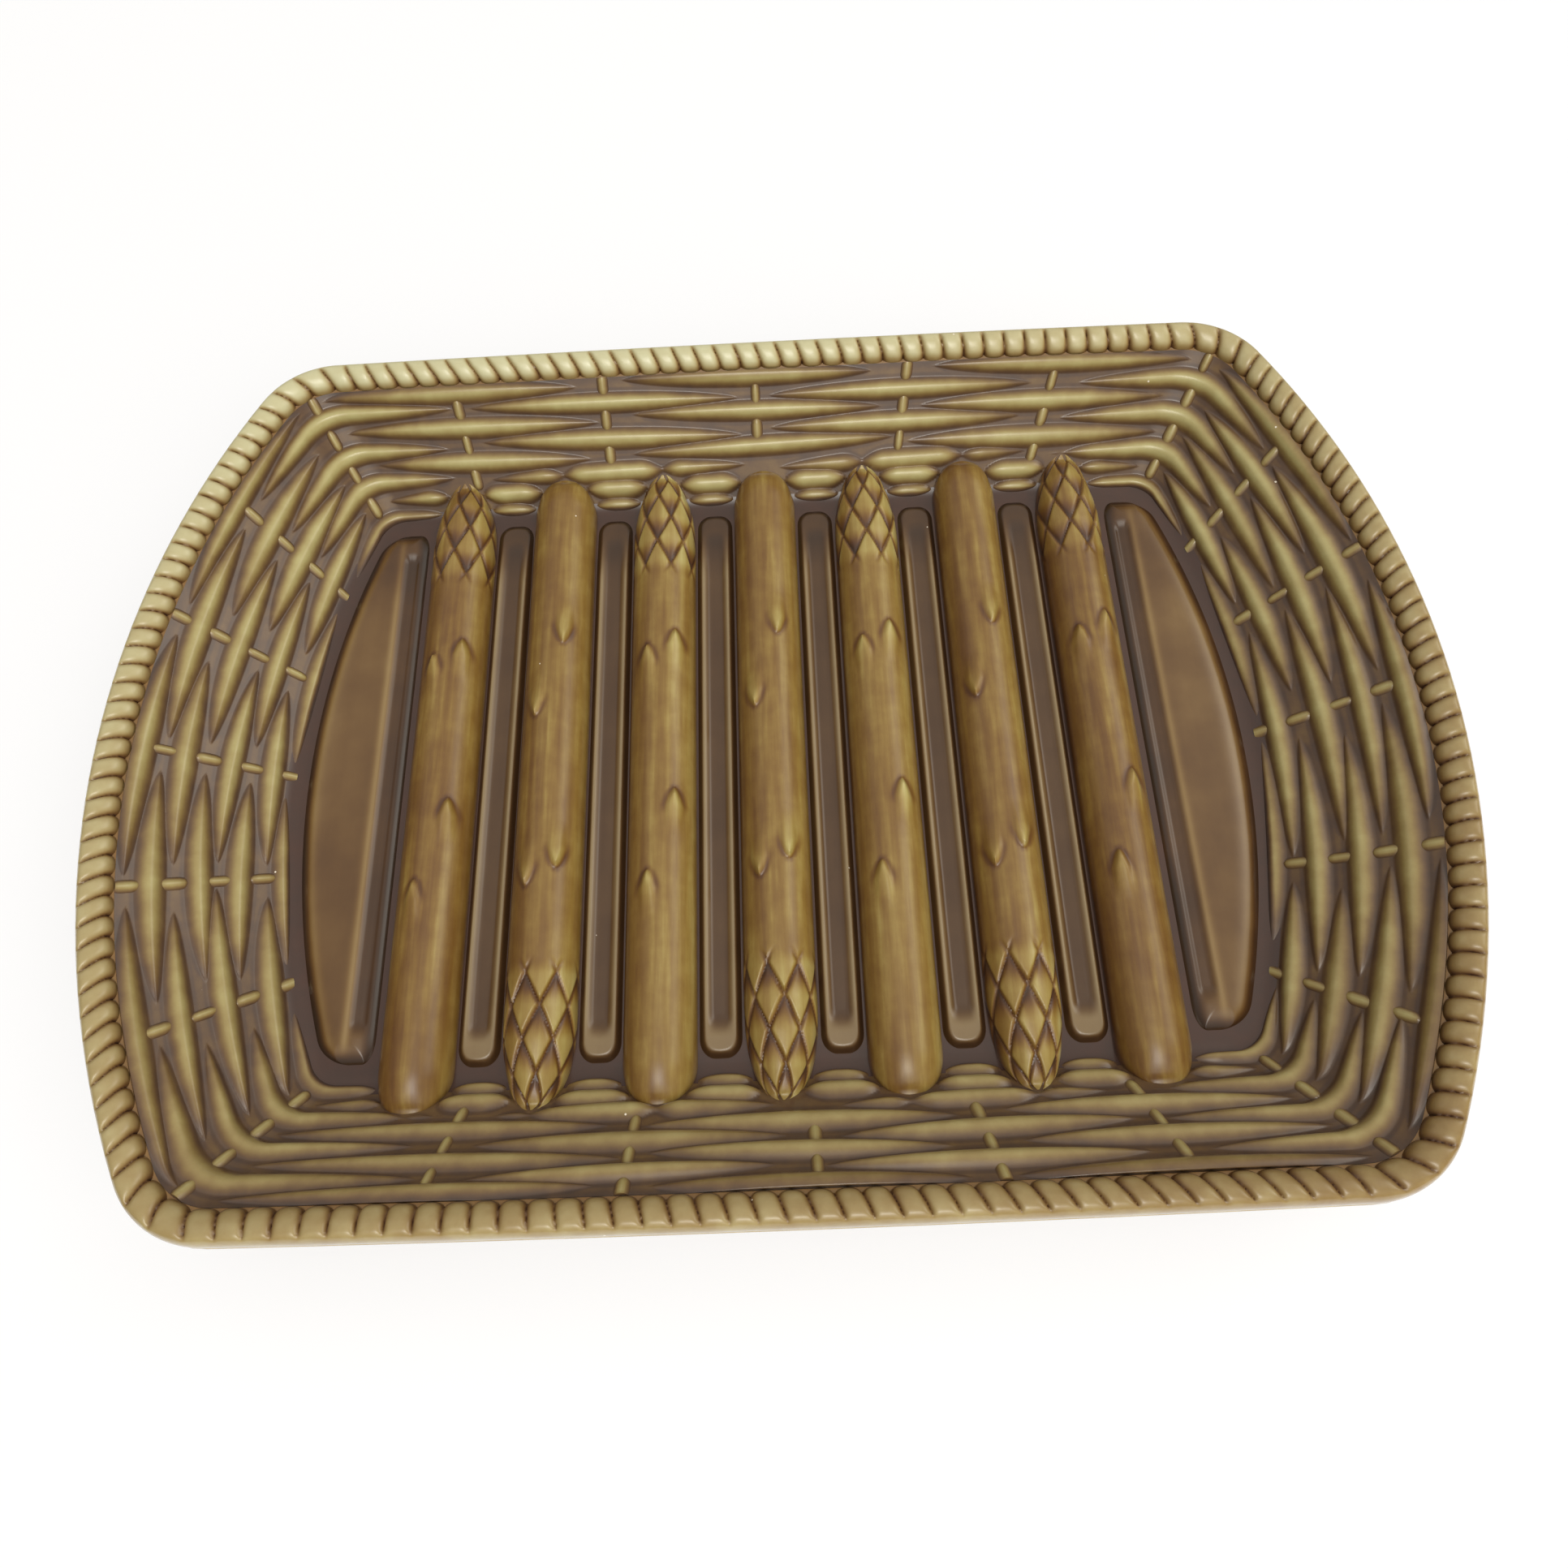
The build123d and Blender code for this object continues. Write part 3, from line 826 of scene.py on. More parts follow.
@dataclass(frozen=True)
class Weave:
    """Basket weave of the wall: spindle-shaped stretches of weaver, each over every other stake."""

    spears: SpearForm
    rows: int = 8
    first_row: float = 0.948
    row_step: float = 0.132
    strand_width: float = 8.4 * MM
    strand_height: float = 2.3 * MM
    strand_reach: float = 0.86
    first_row_by_spears: int = 6
    first_row_of_bars: int = 7
    foot_shifts: tuple[float, ...] = (0.0, 0.08, 0.13, 0.17, 0.1, 0.05, -0.04, -0.26, -0.29, 0.01, 0.14, 0.1,
                                      0.0, 0.0, 0.0, 0.03, 0.15, 0.17, 0.05, 0.0, 0.0, 0.0, 0.0, 0.0)
    head_shifts: tuple[float, ...] = (0.0, 0.21, 0.21, 0.175, 0.08, 0.01, -0.04, -0.23, -0.08, 0.06, 0.09, 0.1,
                                      0.0, 0.0, 0.0, 0.02, 0.04, 0.04, 0.0, 0.0, 0.0, 0.0, 0.0, 0.0)
    bed_lift: float = 0.15 * MM
    fillet: float = 0.2 * MM
    thin: float = 0.27
    pooled: float = 1.05
    opened: float = 0.74
    pool_width: float = 1.5 * MM
    place_scatter: float = 0.06
    length_scatter: float = 0.07
    width_scatter: float = 0.1
    height_scatter: float = 0.1
    sway: float = 0.016
    slant: float = 0.022
    spear_gap: float = 0.7 * MM
    spear_fade: float = 7 * MM
    last_row_share: float = 0.75

    def middle(self, row: float) -> float:
        """Share of the way up the wall of a row's middle."""
        return self.first_row - self.row_step * (row - 1)

    def shift(self, station: Array, rise: Array) -> Array:
        """How far the hand-laid stakes stand from even places, in stakes."""
        feet, heads = (np.interp(station % len(moved), np.arange(len(moved) + 1), (*moved, moved[0]))
                       for moved in (self.foot_shifts, self.head_shifts))
        return feet + (heads - feet) * rise

    def barred(self, row: Array | int, x: Array) -> Array:
        """Whether a low row shows as a short bar in every gap between the spears, at places along the plate."""
        return (np.abs(x) < self.spears.middle(self.spears.count)) & (row >= self.first_row_of_bars)

    def strand(self, row: int, station: Array, rise: Array, slope: Array, spread: float) -> Array:
        """Height of one row's weaver above the wall.

        Args:
            row: Row, counted from the rim down.
            station: Places round the wall, in stakes.
            rise: Shares of the way up the wall.
            slope: Length of the wall's slope at each place.
            spread: How much wider than itself the weaver is taken to be on each side.

        Returns:
            The height of the visible stretch nearest to each place, or 0. Stretches stop short of the spears.
        """
        count = station - self.shift(station, rise)
        stake = row % 2 + 2 * np.rint((count - row % 2) / 2)
        mark = stake % self.spears.form.stakes
        line = self.spears.form.wall(station, np.full(len(station), self.middle(row)))
        bar = self.barred(row, line[:, 0])
        stray = [np.where(bar, 0, jitter(row, mark, draw)) for draw in range(1, 7)]
        reach = self.strand_reach * (1 + self.length_scatter * stray[0])
        off = (count - stake - self.place_scatter * stray[1]) / reach
        left = np.where(bar, 1, np.clip(1 - off ** 2, 0, 1))
        if row >= self.first_row_by_spears:
            room = np.clip((self.spears.clear(line[:, 0], line[:, 1]) - self.spear_gap) / self.spear_fade, 0, 1)
            left = left * (1 - (1 - room) ** 2) * (self.last_row_share if row == self.rows else 1.0)
        half = self.strand_width / 2 * (1 + self.width_scatter * stray[2]) * left ** 0.7
        half += spread * smoothstep(0.0, 0.2, left)
        sway = self.sway * stray[3] + np.where(bar, 0, self.slant * stray[4] * off)
        away = np.abs(rise - self.middle(row) - sway) * slope / np.maximum(half, 1e-6)
        dome = np.clip(1 - away ** 2, 0, 1) ** 1.7
        return self.strand_height * (1 + self.height_scatter * stray[5]) * left ** 0.75 * dome

    def relief(self, station: Array, rise: Array, spread: float = 0.0) -> Array:
        """Height of the weave above the wall, with its weavers spread by a width or not."""
        form = self.spears.form
        slope = form.slope_length(station)
        height = np.zeros(len(station))
        for row in range(1, self.rows + 1):
            if np.abs(rise - self.middle(row)).min() < 1.1 * self.row_step:
                height = soft_max(self.strand(row, station, rise, slope, spread), height, self.fillet)
        return height

    def surface(self, station: Array, rise: Array) -> Array:
        """Points of the woven surface."""
        lift = self.bed_lift + self.relief(station, rise)
        return self.spears.form.wall(station, rise) + self.spears.form.wall_out(station, rise) * lift[:, None]

    def facing(self, station: Array, rise: Array) -> Array:
        """Unit normals of the woven surface."""
        step = 0.004
        along = self.surface(station + step, rise) - self.surface(station - step, rise)
        slope = self.surface(station, rise + step) - self.surface(station, rise - step)
        return unit_rows(np.cross(slope, along))


@dataclass
class WeaveRow(Piece):
    """One weaver and the band of wall that it runs in."""

    weave: Weave
    row: int
    stations: int = 1320
    lines: int = 22
    rim_pool_and_painted_shade: float = 0.25
    foot_pool_and_painted_shade: float = 0.8
    near_painted_shade: float = 0.06

    def shape(self) -> bpy.types.Object:
        """Lay the band round the wall."""
        weave, form = self.weave, self.form
        high = 1.0 if self.row == 1 else weave.middle(self.row - 0.5)
        low = -0.02 if self.row == weave.rows else weave.middle(self.row + 0.5)
        grid = LaidGrid(self.name, self.stations, self.lines)

        def lay(_: Array, along: Array, across: Array) -> Laid:
            """Place the band's surface and its back."""
            keel = (across < 0) | (across > 1)
            back = ((across < 0.01) | (across > 0.99))[:, None]
            station = along * form.stakes
            edge = 1 / self.lines
            share = np.clip((across - edge) / (1 - 2 * edge), 0, 1)
            rise = low + (high - low) * np.where(keel, 0.5, share)
            height = weave.relief(station, rise)
            points = np.where(back, form.wall(station, rise), weave.surface(station, rise))
            facing = np.where(back, -form.wall_out(station, rise), weave.facing(station, rise))
            crest = 1 - (1 - np.clip(height / weave.strand_height, 0, 1)) ** 1.7
            # Painted shade over pooled glaze: the band darkens at the top, where the rope meets the wall, and at the
            # foot, where the wall meets the floor.
            shade = self.rim_pool_and_painted_shade * smoothstep(0.93, 1.0, rise)
            shade += self.foot_pool_and_painted_shade * (1 - smoothstep(-0.02, 0.03, rise))
            # Painted light and shade by side: thinner glaze lightens the far wall's weave, thicker glaze darkens the
            # near wall's.
            thin = weave.thin - self.near_painted_shade * points[:, 1] / form.rim_inner.half_width
            beside = smoothstep(0.0, 0.12, weave.relief(station, rise, weave.pool_width) / weave.strand_height)
            bed = weave.opened + (weave.pooled - weave.opened) * beside
            return Laid(points, bed + (thin - bed) * crest + shade, facing)

        return grid.build(lay)


@dataclass
class StakeKnots(Piece):
    """The short lengths of stake that show between the weavers."""

    weave: Weave
    width: float = 3.9 * MM
    length: float = 8.0 * MM
    height: float = 1.2 * MM
    width_scatter: float = 0.12
    edge_glaze: float = 0.9

    def shape(self) -> bpy.types.Object:
        """Lay a small dome at every place where a stake shows."""
        weave, form = self.weave, self.form
        marks = [(row, stake) for row in range(1, weave.rows + 1) for stake in range(form.stakes)
                 if (row + stake) % 2]
        row, stake = np.array(marks, float).T
        rise = weave.middle(row)
        slope = form.slope_length(stake)
        top = form.wall(stake, rise)
        keep = (weave.spears.clear(top[:, 0], top[:, 1]) > self.width) & ~weave.barred(row, top[:, 0])
        row, stake, rise, slope = row[keep], stake[keep], rise[keep], slope[keep]
        grid = LaidGrid(self.name, 8, 8, copies=len(row))

        def lay(copy: Array, along: Array, across: Array) -> Laid:
            """Place each knot on the wall."""
            keel = (across < 0) | (across > 1)
            up = np.sin(np.pi * (along - 0.5))
            aside = np.where(keel, 0, np.sin(np.pi * (np.clip(across, 0, 1) - 0.5)))
            ends = np.sqrt(np.clip(1 - up ** 4, 0, 1))
            place = rise[copy] + up * self.length / 2 / slope[copy]
            place = np.clip(place, 0.0, 1.0)
            centre = stake[copy] + weave.shift(stake[copy], place)
            pace = form.wall(centre + 0.1, place) - form.wall(centre - 0.1, place)
            wide = self.width / 2 * (1 + self.width_scatter * jitter(row, stake, 7)[copy]) * ends
            station = centre + aside * wide * 0.2 / np.linalg.norm(pace, axis=1)
            dome = np.where(keel, 0, np.clip(1 - aside ** 2, 0, 1)) * ends
            lift = weave.bed_lift / 2 + self.height * dome
            points = form.wall(station, place) + form.wall_out(station, place) * lift[:, None]
            return Laid(points, weave.thin + self.edge_glaze * (1 - dome) ** 1.3)

        return grid.build(lay)


@dataclass
class Spear(Piece):
    """One moulded asparagus spear with its bracts and scaled tip."""

    spears: SpearForm
    index: int
    steps: int = 380
    lines: int = 72
    squareness: float = 2.08
    scale_step: float = 9.2 * MM
    tip_scale: float = 3 * MM
    scaled_length: float = 37 * MM
    scale_depth: float = 1.2 * MM
    scales_per_radian: float = 1.18
    bract_tips: tuple[tuple[float, float], ...] = ((36 * MM, -4 * MM), (41 * MM, 4.5 * MM),
                                                   (-13 * MM, 4.5 * MM), (-38 * MM, -3 * MM))
    bract_length: float = 15 * MM
    bract_width: float = 5.2 * MM
    bract_height: float = 1.7 * MM
    bract_thinning: float = 0.3
    crease_glaze: float = 0.42
    foot_pool_and_painted_shade: float = 0.26
    painted_foot_side_light_and_shade: float = 0.16
    painted_side_light_and_shade: float = 0.1

    def _bracts(self, place: Array, aside: Array) -> tuple[Array, Array]:
        """Relief of the pointed bracts.

        Args:
            place: Distance from the spear's middle towards its tip.
            aside: Distance from its middle line.

        Returns:
            The height of the bracts and how deep each place lies in the crease round one.
        """
        height = np.zeros(len(place))
        crease = np.zeros(len(place))
        for tip, line in self.bract_tips:
            back = tip - place
            share = np.clip(back / self.bract_length, 0, 1)
            half = self.bract_width / 2 * np.clip(back / (0.38 * self.bract_length), 0, 1) ** 0.55
            inside = half - np.abs(aside - line)
            fade = (1 - share) ** 1.3 * (back > 0)
            height = np.maximum(height, self.bract_height * fade * smoothstep(-0.4 * MM, 1.7 * MM, inside))
            near = np.hypot(np.minimum(inside, 0), np.minimum(back, 0))
            rim = (1 - smoothstep(0, 2 * MM, near)) * (1 - smoothstep(-0.6 * MM, 0.5 * MM, inside))
            crease = np.maximum(crease, rim * (1 - smoothstep(0.2, 0.6, share)) * (back > -2 * MM))
        return height, crease

    def _scales(self, place: Array, angle: Array) -> tuple[Array, Array]:
        """Relief of the overlapping scales, which grow from the tip's end backwards.

        Args:
            place: Distance from the spear's middle towards its tip.
            angle: Angle round the spear from its crown.

        Returns:
            The height of the scales and the extra glaze that lies under their edges.
        """
        back = np.maximum(self.spears.reach - place, 0)
        row = 0.75 - (back / self.scale_step + 0.5 * (1 - np.exp(-back / self.tip_scale))) / 2
        column = self.scales_per_radian * angle + 0.1 + 0.08 * jitter(self.index, 0, 8)
        first, second = row + column, row - column
        first, second = first - np.floor(first), second - np.floor(second)
        rise = smoothstep(0.0, 0.55, (first + second) / 2)
        lap = smoothstep(0.0, 0.12, np.minimum(1 - first, 1 - second))
        crease = smoothstep(0.0, 0.16, np.minimum(first, second))
        shown = 1 - smoothstep(self.scaled_length - 2 * MM, self.scaled_length + 5 * MM, back)
        height = self.scale_depth * shown * ((0.3 + 0.7 * rise) * lap * (0.5 + 0.5 * crease) - 0.8)
        line = 1 - smoothstep(0.0, 0.12, np.minimum(np.minimum(first, 1 - first), np.minimum(second, 1 - second)))
        return height, shown * (0.35 * line + 0.7 * (1 - rise) ** 1.5 - 0.17 * rise * (1 - line))

    def shape(self) -> bpy.types.Object:
        """Lay the spear from its butt to its tip."""
        spears = self.spears
        middle = spears.middle(self.index)
        turn = spears.heading(self.index).value
        grid = LaidGrid(self.name, self.steps, self.lines)

        def lay(_: Array, along: Array, across: Array) -> Laid:
            """Place the spear's skin."""
            keel = (across < 0) | (across > 1)
            angle = np.pi * (np.clip(across, 0, 1) - 0.5)
            eased = 0.82 * along + 0.18 * (0.5 - 0.5 * np.cos(np.pi * along))
            place = spears.reach * (2 * eased ** 0.85 - 1)
            share = spears.width_share(place)
            sine, cosine = np.sin(angle), np.cos(angle)
            wide = np.where(keel, 0, np.sign(sine) * np.abs(sine) ** (2 / self.squareness))
            tall = np.where(keel, 0, np.abs(cosine) ** (2 / self.squareness))
            half = spears.half_width * share
            bracts, crease = self._bracts(place, wide * half)
            scales, pooled = self._scales(place, angle)
            relief = np.where(keel, 0, (bracts + scales) * np.sqrt(share) * np.sqrt(np.clip(tall, 0, 1)))
            x = middle + turn * (wide * half + sine * np.where(keel, 0, relief) * 0.6)
            y = turn * place
            bed = spears.bed(x, y)
            floor = self.form.floor_top
            under = spears.bed(np.full(len(y), middle), y)
            crown = soft_max(floor + spears.height * np.sqrt(share), under + spears.end_lift * np.sqrt(share), 1 * MM)
            level = bed + (crown - under) * tall + relief * np.maximum(cosine, 0) - 0.1 * MM
            # Painted light and shade across the spear: thinner, lighter glaze on its right flank and thicker, darker
            # glaze on its left flank; the foot gets pooled glaze plus painted shade, darker on the left.
            lit_side = turn * wide
            low = 1 - smoothstep(0.0, 0.5, tall)
            foot = low * (self.foot_pool_and_painted_shade - self.painted_foot_side_light_and_shade * lit_side) - self.painted_side_light_and_shade * lit_side
            thinned = self.bract_thinning * np.clip(bracts / self.bract_height, 0, 1)
            glaze = spears.glaze[self.index - 1] + foot + self.crease_glaze * crease + pooled - thinned
            return Laid(np.column_stack([x, y, level]), glaze)

        return grid.build(lay)


@dataclass
class DrainStrip(Piece):
    """A low strip between two spears, with a ridge along each edge and a gutter between."""

    widening: float = 1.9 * MM
    crest_inset: float = 2.1 * MM
    ridge_fall: float = 2.4 * MM
    gutter_depth: float = 1.2 * MM
    end_pad: float = 6 * MM
    corner: float = 6.1 * MM
    steps: int = 220
    lines: int = 36
    edge_glaze: float = 1.9
    crest_thinning: float = 1.65
    gutter_glaze: float = 1.2
    far_painted_shade: float = 1.2

    def shape(self) -> bpy.types.Object:
        """Lay the strip across the floor."""
        low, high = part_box(self.nodes[0])
        middle = (low.x + high.x) / 2
        half_width, half_length = (high.x - low.x) / 2 + self.widening, high.y + self.widening
        grid = LaidGrid(self.name, self.steps, self.lines)

        def lay(_: Array, along: Array, across: Array) -> Laid:
            """Place the strip's top and sides."""
            keel = (across < 0) | (across > 1)
            share = np.where(keel, 0, 2 * np.clip(across, 0, 1) - 1)
            place = half_length * np.sin(np.pi * (along - 0.5))
            end = half_length - np.abs(place)
            half = half_width * (1 - np.clip(1 - end / self.corner, 0, 1) ** 2.3) ** (1 / 2.3)
            aside = half * np.sin(np.pi / 2 * share)
            side = np.maximum(half - np.abs(aside), 0)
            edge = side * end / np.maximum(np.hypot(side, end), 1e-9)
            rise = smoothstep(0.0, self.crest_inset, edge)
            hollow = smoothstep(self.crest_inset, self.crest_inset + self.ridge_fall, edge)
            hollow *= smoothstep(self.end_pad, 2 * self.end_pad, end)
            far = 1 - smoothstep(3 * MM, 26 * MM, half_length - place)
            lift = (high.z - low.z) * rise * (1 - 0.55 * far) - self.gutter_depth * hollow * (1 - far)
            level = low.z - 0.1 * MM + np.where(keel, 0, lift)
            pad = 1 - smoothstep(0.6 * self.end_pad, 2.5 * self.end_pad, end)
            glaze = self.edge_glaze - self.crest_thinning * rise ** 4 * (1 - 0.12 * pad)
            # Painted shade: thicker glaze darkens the far end of the strip.
            glaze += self.gutter_glaze * hollow + self.far_painted_shade * far
            return Laid(np.column_stack([middle + aside, place, level]), glaze)

        return grid.build(lay)


@dataclass
class EndPanel(Piece):
    """A D-shaped raised panel between the outer spear and the bowed wall, with a gutter beside the spear."""

    end: End
    margin: float = 4.0 * MM
    gutter_start: float = 1.8 * MM
    gutter_width: float = 6.4 * MM
    gutter_side: float = 2.4 * MM
    gutter_depth: float = 1.1 * MM
    gutter_stop: float = 7 * MM
    edge_round: float = 9 * MM
    corner: float = 8 * MM
    steps: int = 240
    lines: int = 72
    edge_glaze: float = 2.44
    right_painted_shade: float = 0.08
    top_thinning: float = 1.55
    crest_thinning: float = 0.55
    gutter_glaze: float = 0.6
    far_painted_shade: float = 0.4

    def shape(self) -> bpy.types.Object:
        """Lay the panel from its straight edge to its bowed edge."""
        low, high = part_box(self.nodes[0])
        bound = self.form.floor_edge.inset(self.margin)
        straight = min(abs(low.x), abs(high.x))
        half_length = high.y
        grid = LaidGrid(self.name, self.steps, self.lines)

        def lay(_: Array, along: Array, across: Array) -> Laid:
            """Place the panel's top and sides."""
            keel = (across < 0) | (across > 1)
            share = np.where(keel, 0.5, 0.5 + 0.5 * np.sin(np.pi * (np.clip(across, 0, 1) - 0.5)))
            place = half_length * np.sin(np.pi * (along - 0.5))
            end = half_length - np.abs(place)
            corner = (1 - np.clip(1 - end / self.corner, 0, 1) ** 2.5) ** 0.4
            width = (bound.end_x(place) - straight) * corner
            start = straight + 0.3 * (bound.end_x(place) - straight) * (1 - corner)
            x = start + width * share
            edge = np.minimum(np.minimum(x - start, start + width - x), end)
            rise = (high.z - low.z) * (1 - np.clip(1 - edge / self.edge_round, 0, 1) ** 3)
            inner = x - straight
            hollow = smoothstep(self.gutter_start, self.gutter_start + self.gutter_side, inner)
            hollow *= 1 - smoothstep(self.gutter_start + self.gutter_width - self.gutter_side,
                                     self.gutter_start + self.gutter_width, inner)
            hollow *= smoothstep(self.gutter_stop, self.gutter_stop + 5 * MM, end)
            level = low.z - 0.1 * MM + np.where(keel, 0, rise - self.gutter_depth * hollow)
            far = 1 - smoothstep(3 * MM, 35 * MM, half_length - place)
            crests = np.exp(-((inner - self.gutter_start - self.gutter_width) / (1.3 * MM)) ** 2)
            crests += 0.8 * np.exp(-((start + width - x) / MM / 1.8 - 1.8) ** 2)
            # Painted shade and light by end: the right panel gets thicker, darker glaze and the left one thinner,
            # lighter glaze.
            glaze = self.edge_glaze + self.right_painted_shade * self.end.value
            glaze = glaze - self.top_thinning * smoothstep(0.2, 0.9, rise / (high.z - low.z))
            glaze -= self.crest_thinning * crests * smoothstep(0.0, self.gutter_stop, end)
            # Painted shade: thicker glaze darkens the panel's far end.
            glaze += self.gutter_glaze * hollow + self.far_painted_shade * far
            return Laid(np.column_stack([self.end.value * x, place, level]), glaze)

        return grid.build(lay)


@dataclass(frozen=True)
class PhotoCamera:
    """Camera at the photograph's viewing angle."""

    elevation: float = 66.28
    azimuth: float = 2.36
    roll: float = -4.71
    target: Colour = (3.69 * MM, -21.78 * MM, 37 * MM)
    distance: float = 310.69 * MM
    lens: float = 26.09
    sensor: float = 36.0

    def place(self) -> bpy.types.Object:
        """Aim the camera and make it the scene's camera.

        Returns:
            The camera object.
        """
        rise, turn, roll = (math.radians(angle) for angle in (self.elevation, self.azimuth, self.roll))
        back = Vector((math.sin(turn) * math.cos(rise), -math.cos(turn) * math.cos(rise), math.sin(rise)))
        right = (-back).cross(Vector((0, 0, 1))).normalized()
        up = right.cross(-back)
        right, up = right * math.cos(roll) + up * math.sin(roll), up * math.cos(roll) - right * math.sin(roll)
        data = bpy.data.cameras.new("photo_camera")
        data.lens, data.sensor_width, data.clip_start = self.lens, self.sensor, 0.01
        camera = add_object("photo_camera", data)
        camera.matrix_world = Matrix.Translation(Vector(self.target) + back * self.distance) @ Matrix(
            (right, up, back)).transposed().to_4x4()
        bpy.context.scene.camera = camera
        return camera


@dataclass(frozen=True)
class Softbox:
    """One soft lamp."""

    name: str
    place: Colour
    size: float
    power: float
    colour: Colour = (1.0, 1.0, 1.0)

    def hang(self) -> bpy.types.Object:
        """Hang the lamp, facing the plate.

        Returns:
            The lamp object.
        """
        data = bpy.data.lights.new(self.name, "AREA")
        data.shape = "DISK"
        data.size, data.energy, data.color = self.size, self.power, self.colour
        lamp = add_object(self.name, data)
        lamp.location = self.place
        lamp.rotation_euler = Vector(self.place).to_track_quat("Z", "Y").to_euler()
        lamp.visible_glossy = False
        return lamp


@dataclass(frozen=True)
class Glow:
    """A soft round patch of light in the sky."""

    towards: Colour
    tightness: float
    light: Colour


@dataclass(frozen=True)
class Studio:
    """Pale floor, a soft lamp and a dim sky with soft patches of light round the plate."""

    floor_radius: float = 3.0
    floor_colour: Colour = (0.87, 0.89, 0.93)
    white_share: float = 0.6
    white_strength: float = 1.04
    sky: tuple[Glow, ...] = (Glow((0.0, 0.0, 1.0), 1.2, (0.41, 0.39, 0.37)),
                             Glow((0.1, 0.45, 0.9), 6.0, (0.46, 0.42, 0.36)),
                             Glow((0.0, -0.22, 0.97), 38.0, (6.0, 5.8, 5.4)),
                             Glow((0.0, -0.6, 0.8), 20.0, (1.4, 1.35, 1.25)),
                             Glow((0.66, 0.34, 0.67), 30.0, (2.2, 2.1, 1.9)),
                             Glow((-0.56, 0.4, 0.73), 30.0, (0.35, 0.34, 0.32)),
                             Glow((0.0, 0.97, 0.2), 20.0, (0.2, 0.2, 0.2)))
    softboxes: tuple[Softbox, ...] = (Softbox("key_softbox", (1.0, -1.2, 0.8), 2.2, 25.0, (1.0, 0.95, 0.87)),)

    def _floor(self) -> bpy.types.Object:
        """Lay the floor, which shows white but keeps the plate's shadow."""
        bm = bmesh.new()
        bmesh.ops.create_circle(bm, cap_ends=True, segments=96, radius=self.floor_radius)
        mesh = bpy.data.meshes.new("studio_floor")
        bm.to_mesh(mesh)
        bm.free()
        floor = add_object("studio_floor", mesh)
        material, board = start_material("pale_floor")
        paint = board.node("ShaderNodeBsdfDiffuse", {}, {"Color": (*self.floor_colour, 1.0)})
        glow = board.node("ShaderNodeEmission", {}, {"Color": (1.0, 1.0, 1.0, 1.0), "Strength": self.white_strength})
        seen = board.rays("Camera", "Glossy", "Transmission")
        mixed = board.node("ShaderNodeMixShader", {}, {0: seen * self.white_share, 1: paint.outputs[0],
                                                       2: glow.outputs[0]})
        board.node("ShaderNodeOutputMaterial", {}, {"Surface": mixed.outputs[0]})
        mesh.materials.append(material)
        return floor

    def _sky(self) -> None:
        """Light the scene from all round, with a white background for the camera."""
        world = bpy.data.worlds.new("studio_sky")
        world.use_nodes = True
        board = NodeBoard(world.node_tree)
        aim = board.node("ShaderNodeTexCoord").outputs["Generated"]
        total: Any = (0.0, 0.0, 0.0)
        for glow in self.sky:
            facing = board.value("ShaderNodeVectorMath", "Value", {"operation": "DOT_PRODUCT"},
                                 {0: aim, 1: Vector(glow.towards).normalized()})
            amount = ((facing - 1.0) * glow.tightness).exp()
            patch = board.node("ShaderNodeVectorMath", {"operation": "SCALE"}, {0: glow.light, "Scale": amount})
            total = board.node("ShaderNodeVectorMath", {"operation": "ADD"}, {0: total, 1: patch.outputs[0]}).outputs[0]
        seen = board.rays("Camera", "Transmission")
        colour = board.mix(seen, total, (1.0, 1.0, 1.0, 1.0))
        light = board.node("ShaderNodeBackground", {}, {"Color": colour, "Strength": 1.0})
        board.node("ShaderNodeOutputWorld", {}, {"Surface": light.outputs[0]})
        bpy.context.scene.world = world

    def build(self) -> None:
        """Lay the floor, light the sky and hang the lamps."""
        self._floor()
        self._sky()
        for softbox in self.softboxes:
            softbox.hang()
        bpy.context.scene.view_settings.view_transform = "Standard"


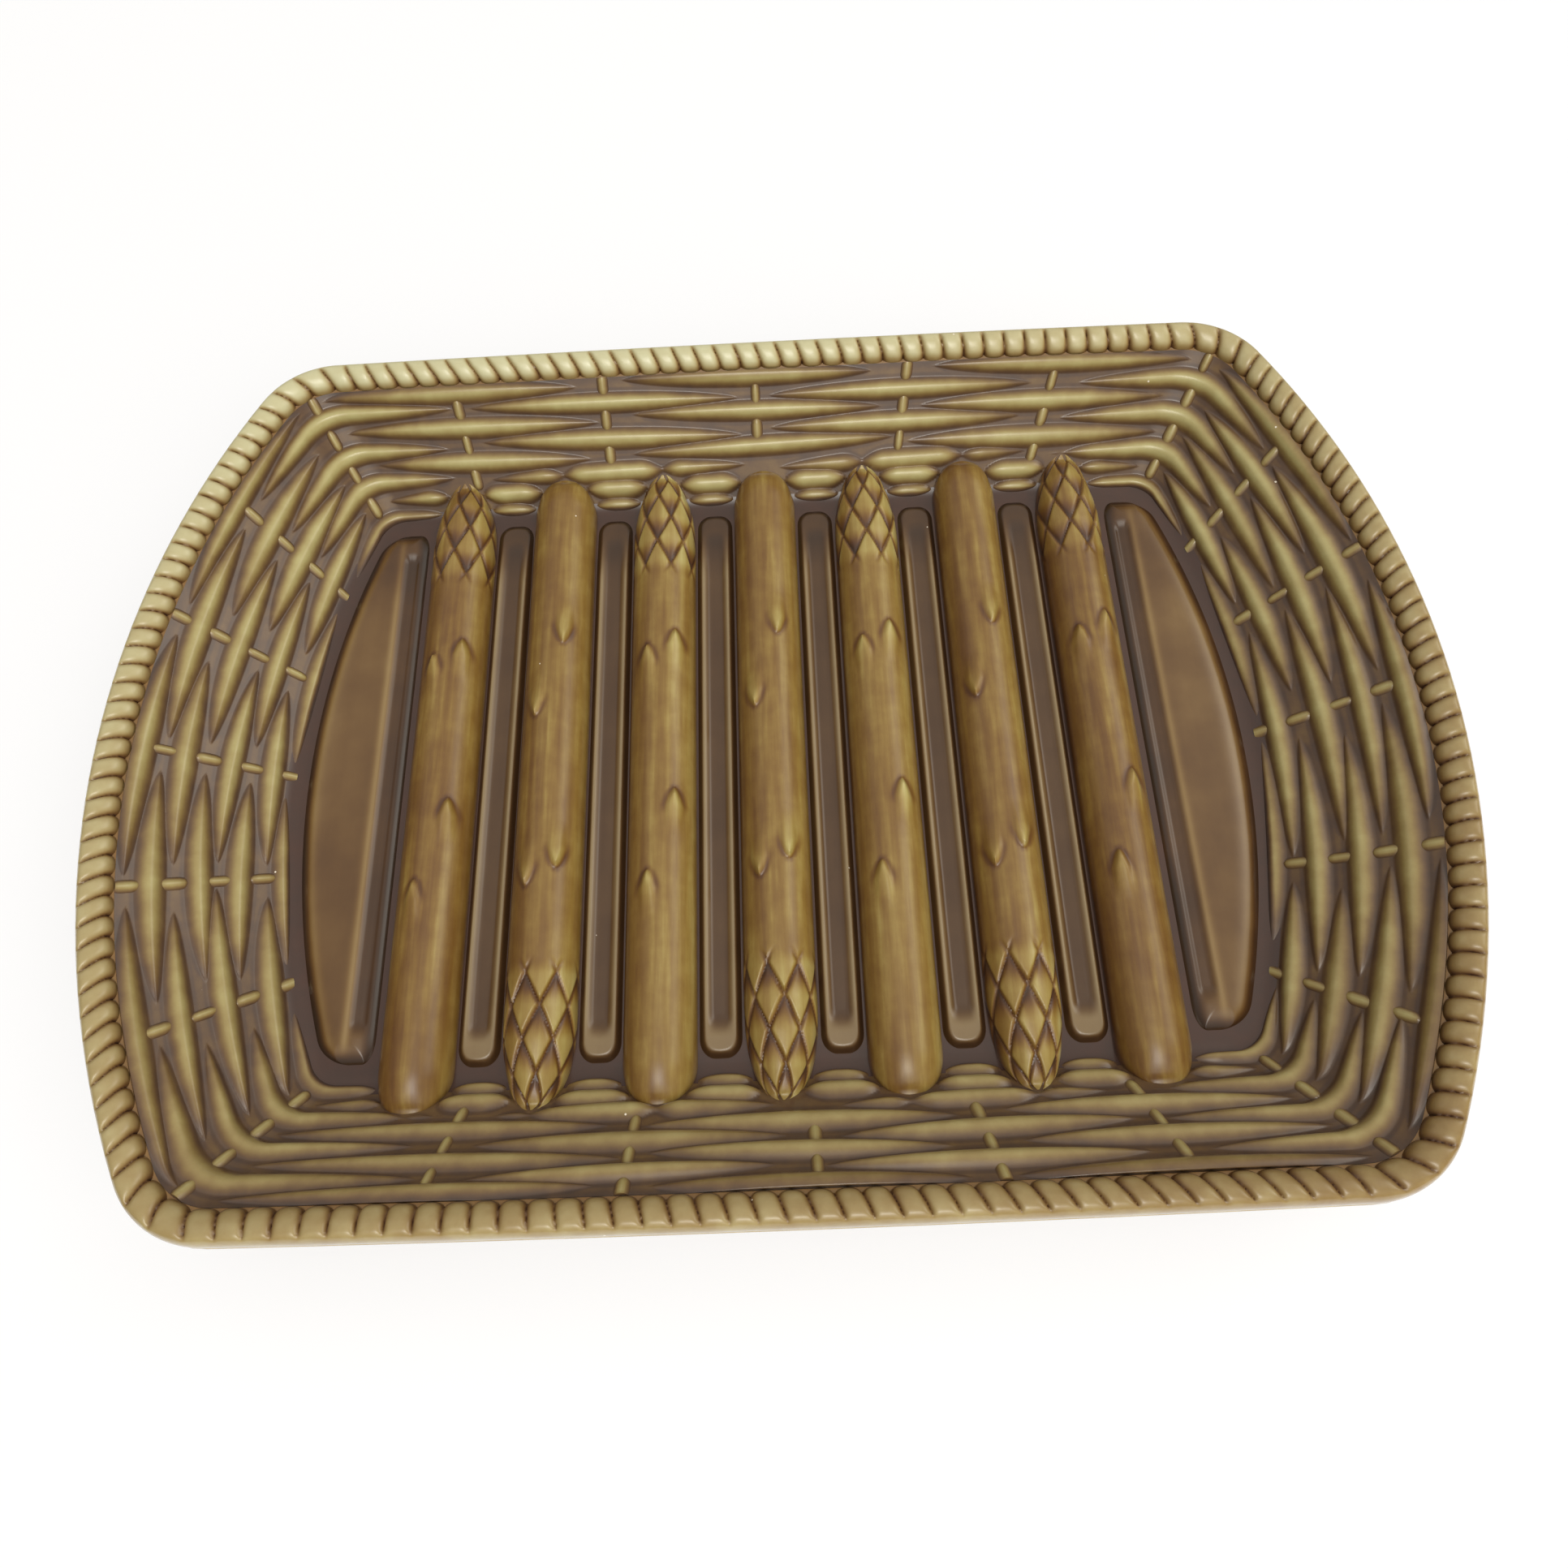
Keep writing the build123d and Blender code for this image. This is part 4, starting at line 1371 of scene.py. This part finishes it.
@dataclass
class AsparagusPlate:
    """The whole plate."""

    form: PlateForm = field(default_factory=PlateForm)

    def pieces(self) -> list[tuple[Piece, str]]:
        """List the plate's pieces with the finish of each."""
        form = self.form
        spears = SpearForm(form)
        weave = Weave(spears)
        listed: list[tuple[Piece, str]] = [
            (Shell(form, "glazed_shell", ("dish_shell",), "dish_glaze"), "dish"),
            (FootRing(form, "bare_foot_ring", ("foot_ring",), "bare_foot"), "clay"),
            (RopeRim(form, "glazed_rope_rim", ("rope_rim",), "rope_glaze"), "rope")]
        for index in range(1, spears.count + 1):
            node = f"asparagus_spear_{index}"
            listed.append((Spear(form, f"glazed_spear_{index}", (node,), "spear_glaze", spears, index), "spear"))
        for index in range(1, spears.count):
            strip = DrainStrip(form, f"glazed_strip_{index}", (f"drain_strip_{index}",), "strip_glaze")
            listed.append((strip, "strip"))
        for end in End:
            side = end.name.lower()
            panel = EndPanel(form, f"glazed_panel_{side}", (f"end_panel_{side}",), "strip_glaze", end)
            listed.append((panel, "panel"))
        for row in range(1, weave.rows + 1):
            band = WeaveRow(form, f"glazed_weave_row_{row}", (f"weave_row_{row}",), "weave_glaze", weave, row)
            listed.append((band, "weave"))
        listed.append((StakeKnots(form, "glazed_stake_knots", ("stake_knots",), "weave_glaze", weave), "weave"))
        return listed

    def build(self) -> None:
        """Build and dress every piece."""
        finishes = {
            "dish": GlazeFinish("dish_glaze").material(),
            "clay": ClayFinish("bare_clay").material(),
            "rope": GlazeFinish("rope_glaze", (0.66, 0.7, 0.5), (2.3, 3.4, 5.2), mottle=0.9,
                                coat_roughness=0.14).material(),
            "spear": GlazeFinish("spear_glaze", absorbed_per_mm=(2.5, 3.8, 6.4), pooled=(0.038, 0.022, 0.012),
                                 mottle=0.5, streak=1.3, coat_roughness=0.26).material(),
            "strip": GlazeFinish("strip_glaze", (0.34, 0.285, 0.165), (1.3, 1.75, 2.2), (0.024, 0.015, 0.008),
                                 mottle=0.5, mottle_scale=70.0, streak=0.4).material(),
            "panel": GlazeFinish("panel_glaze", (0.37, 0.285, 0.14), (1.35, 1.85, 2.6), (0.02, 0.013, 0.007),
                                 mottle=1.5, mottle_scale=32.0, streak=0.8).material(),
            "weave": GlazeFinish("weave_glaze", absorbed_per_mm=(2.7, 3.9, 6.0), pooled=(0.045, 0.037, 0.031),
                                 mottle=0.8).material()}
        for piece, finish in self.pieces():
            piece.make(finishes[finish])


def main() -> None:
    """Build the plate, the studio and the camera."""
    logging.basicConfig(level=logging.INFO, format="%(message)s")
    AsparagusPlate().build()
    Studio().build()
    PhotoCamera().place()


if __name__ == "__main__":
    main()
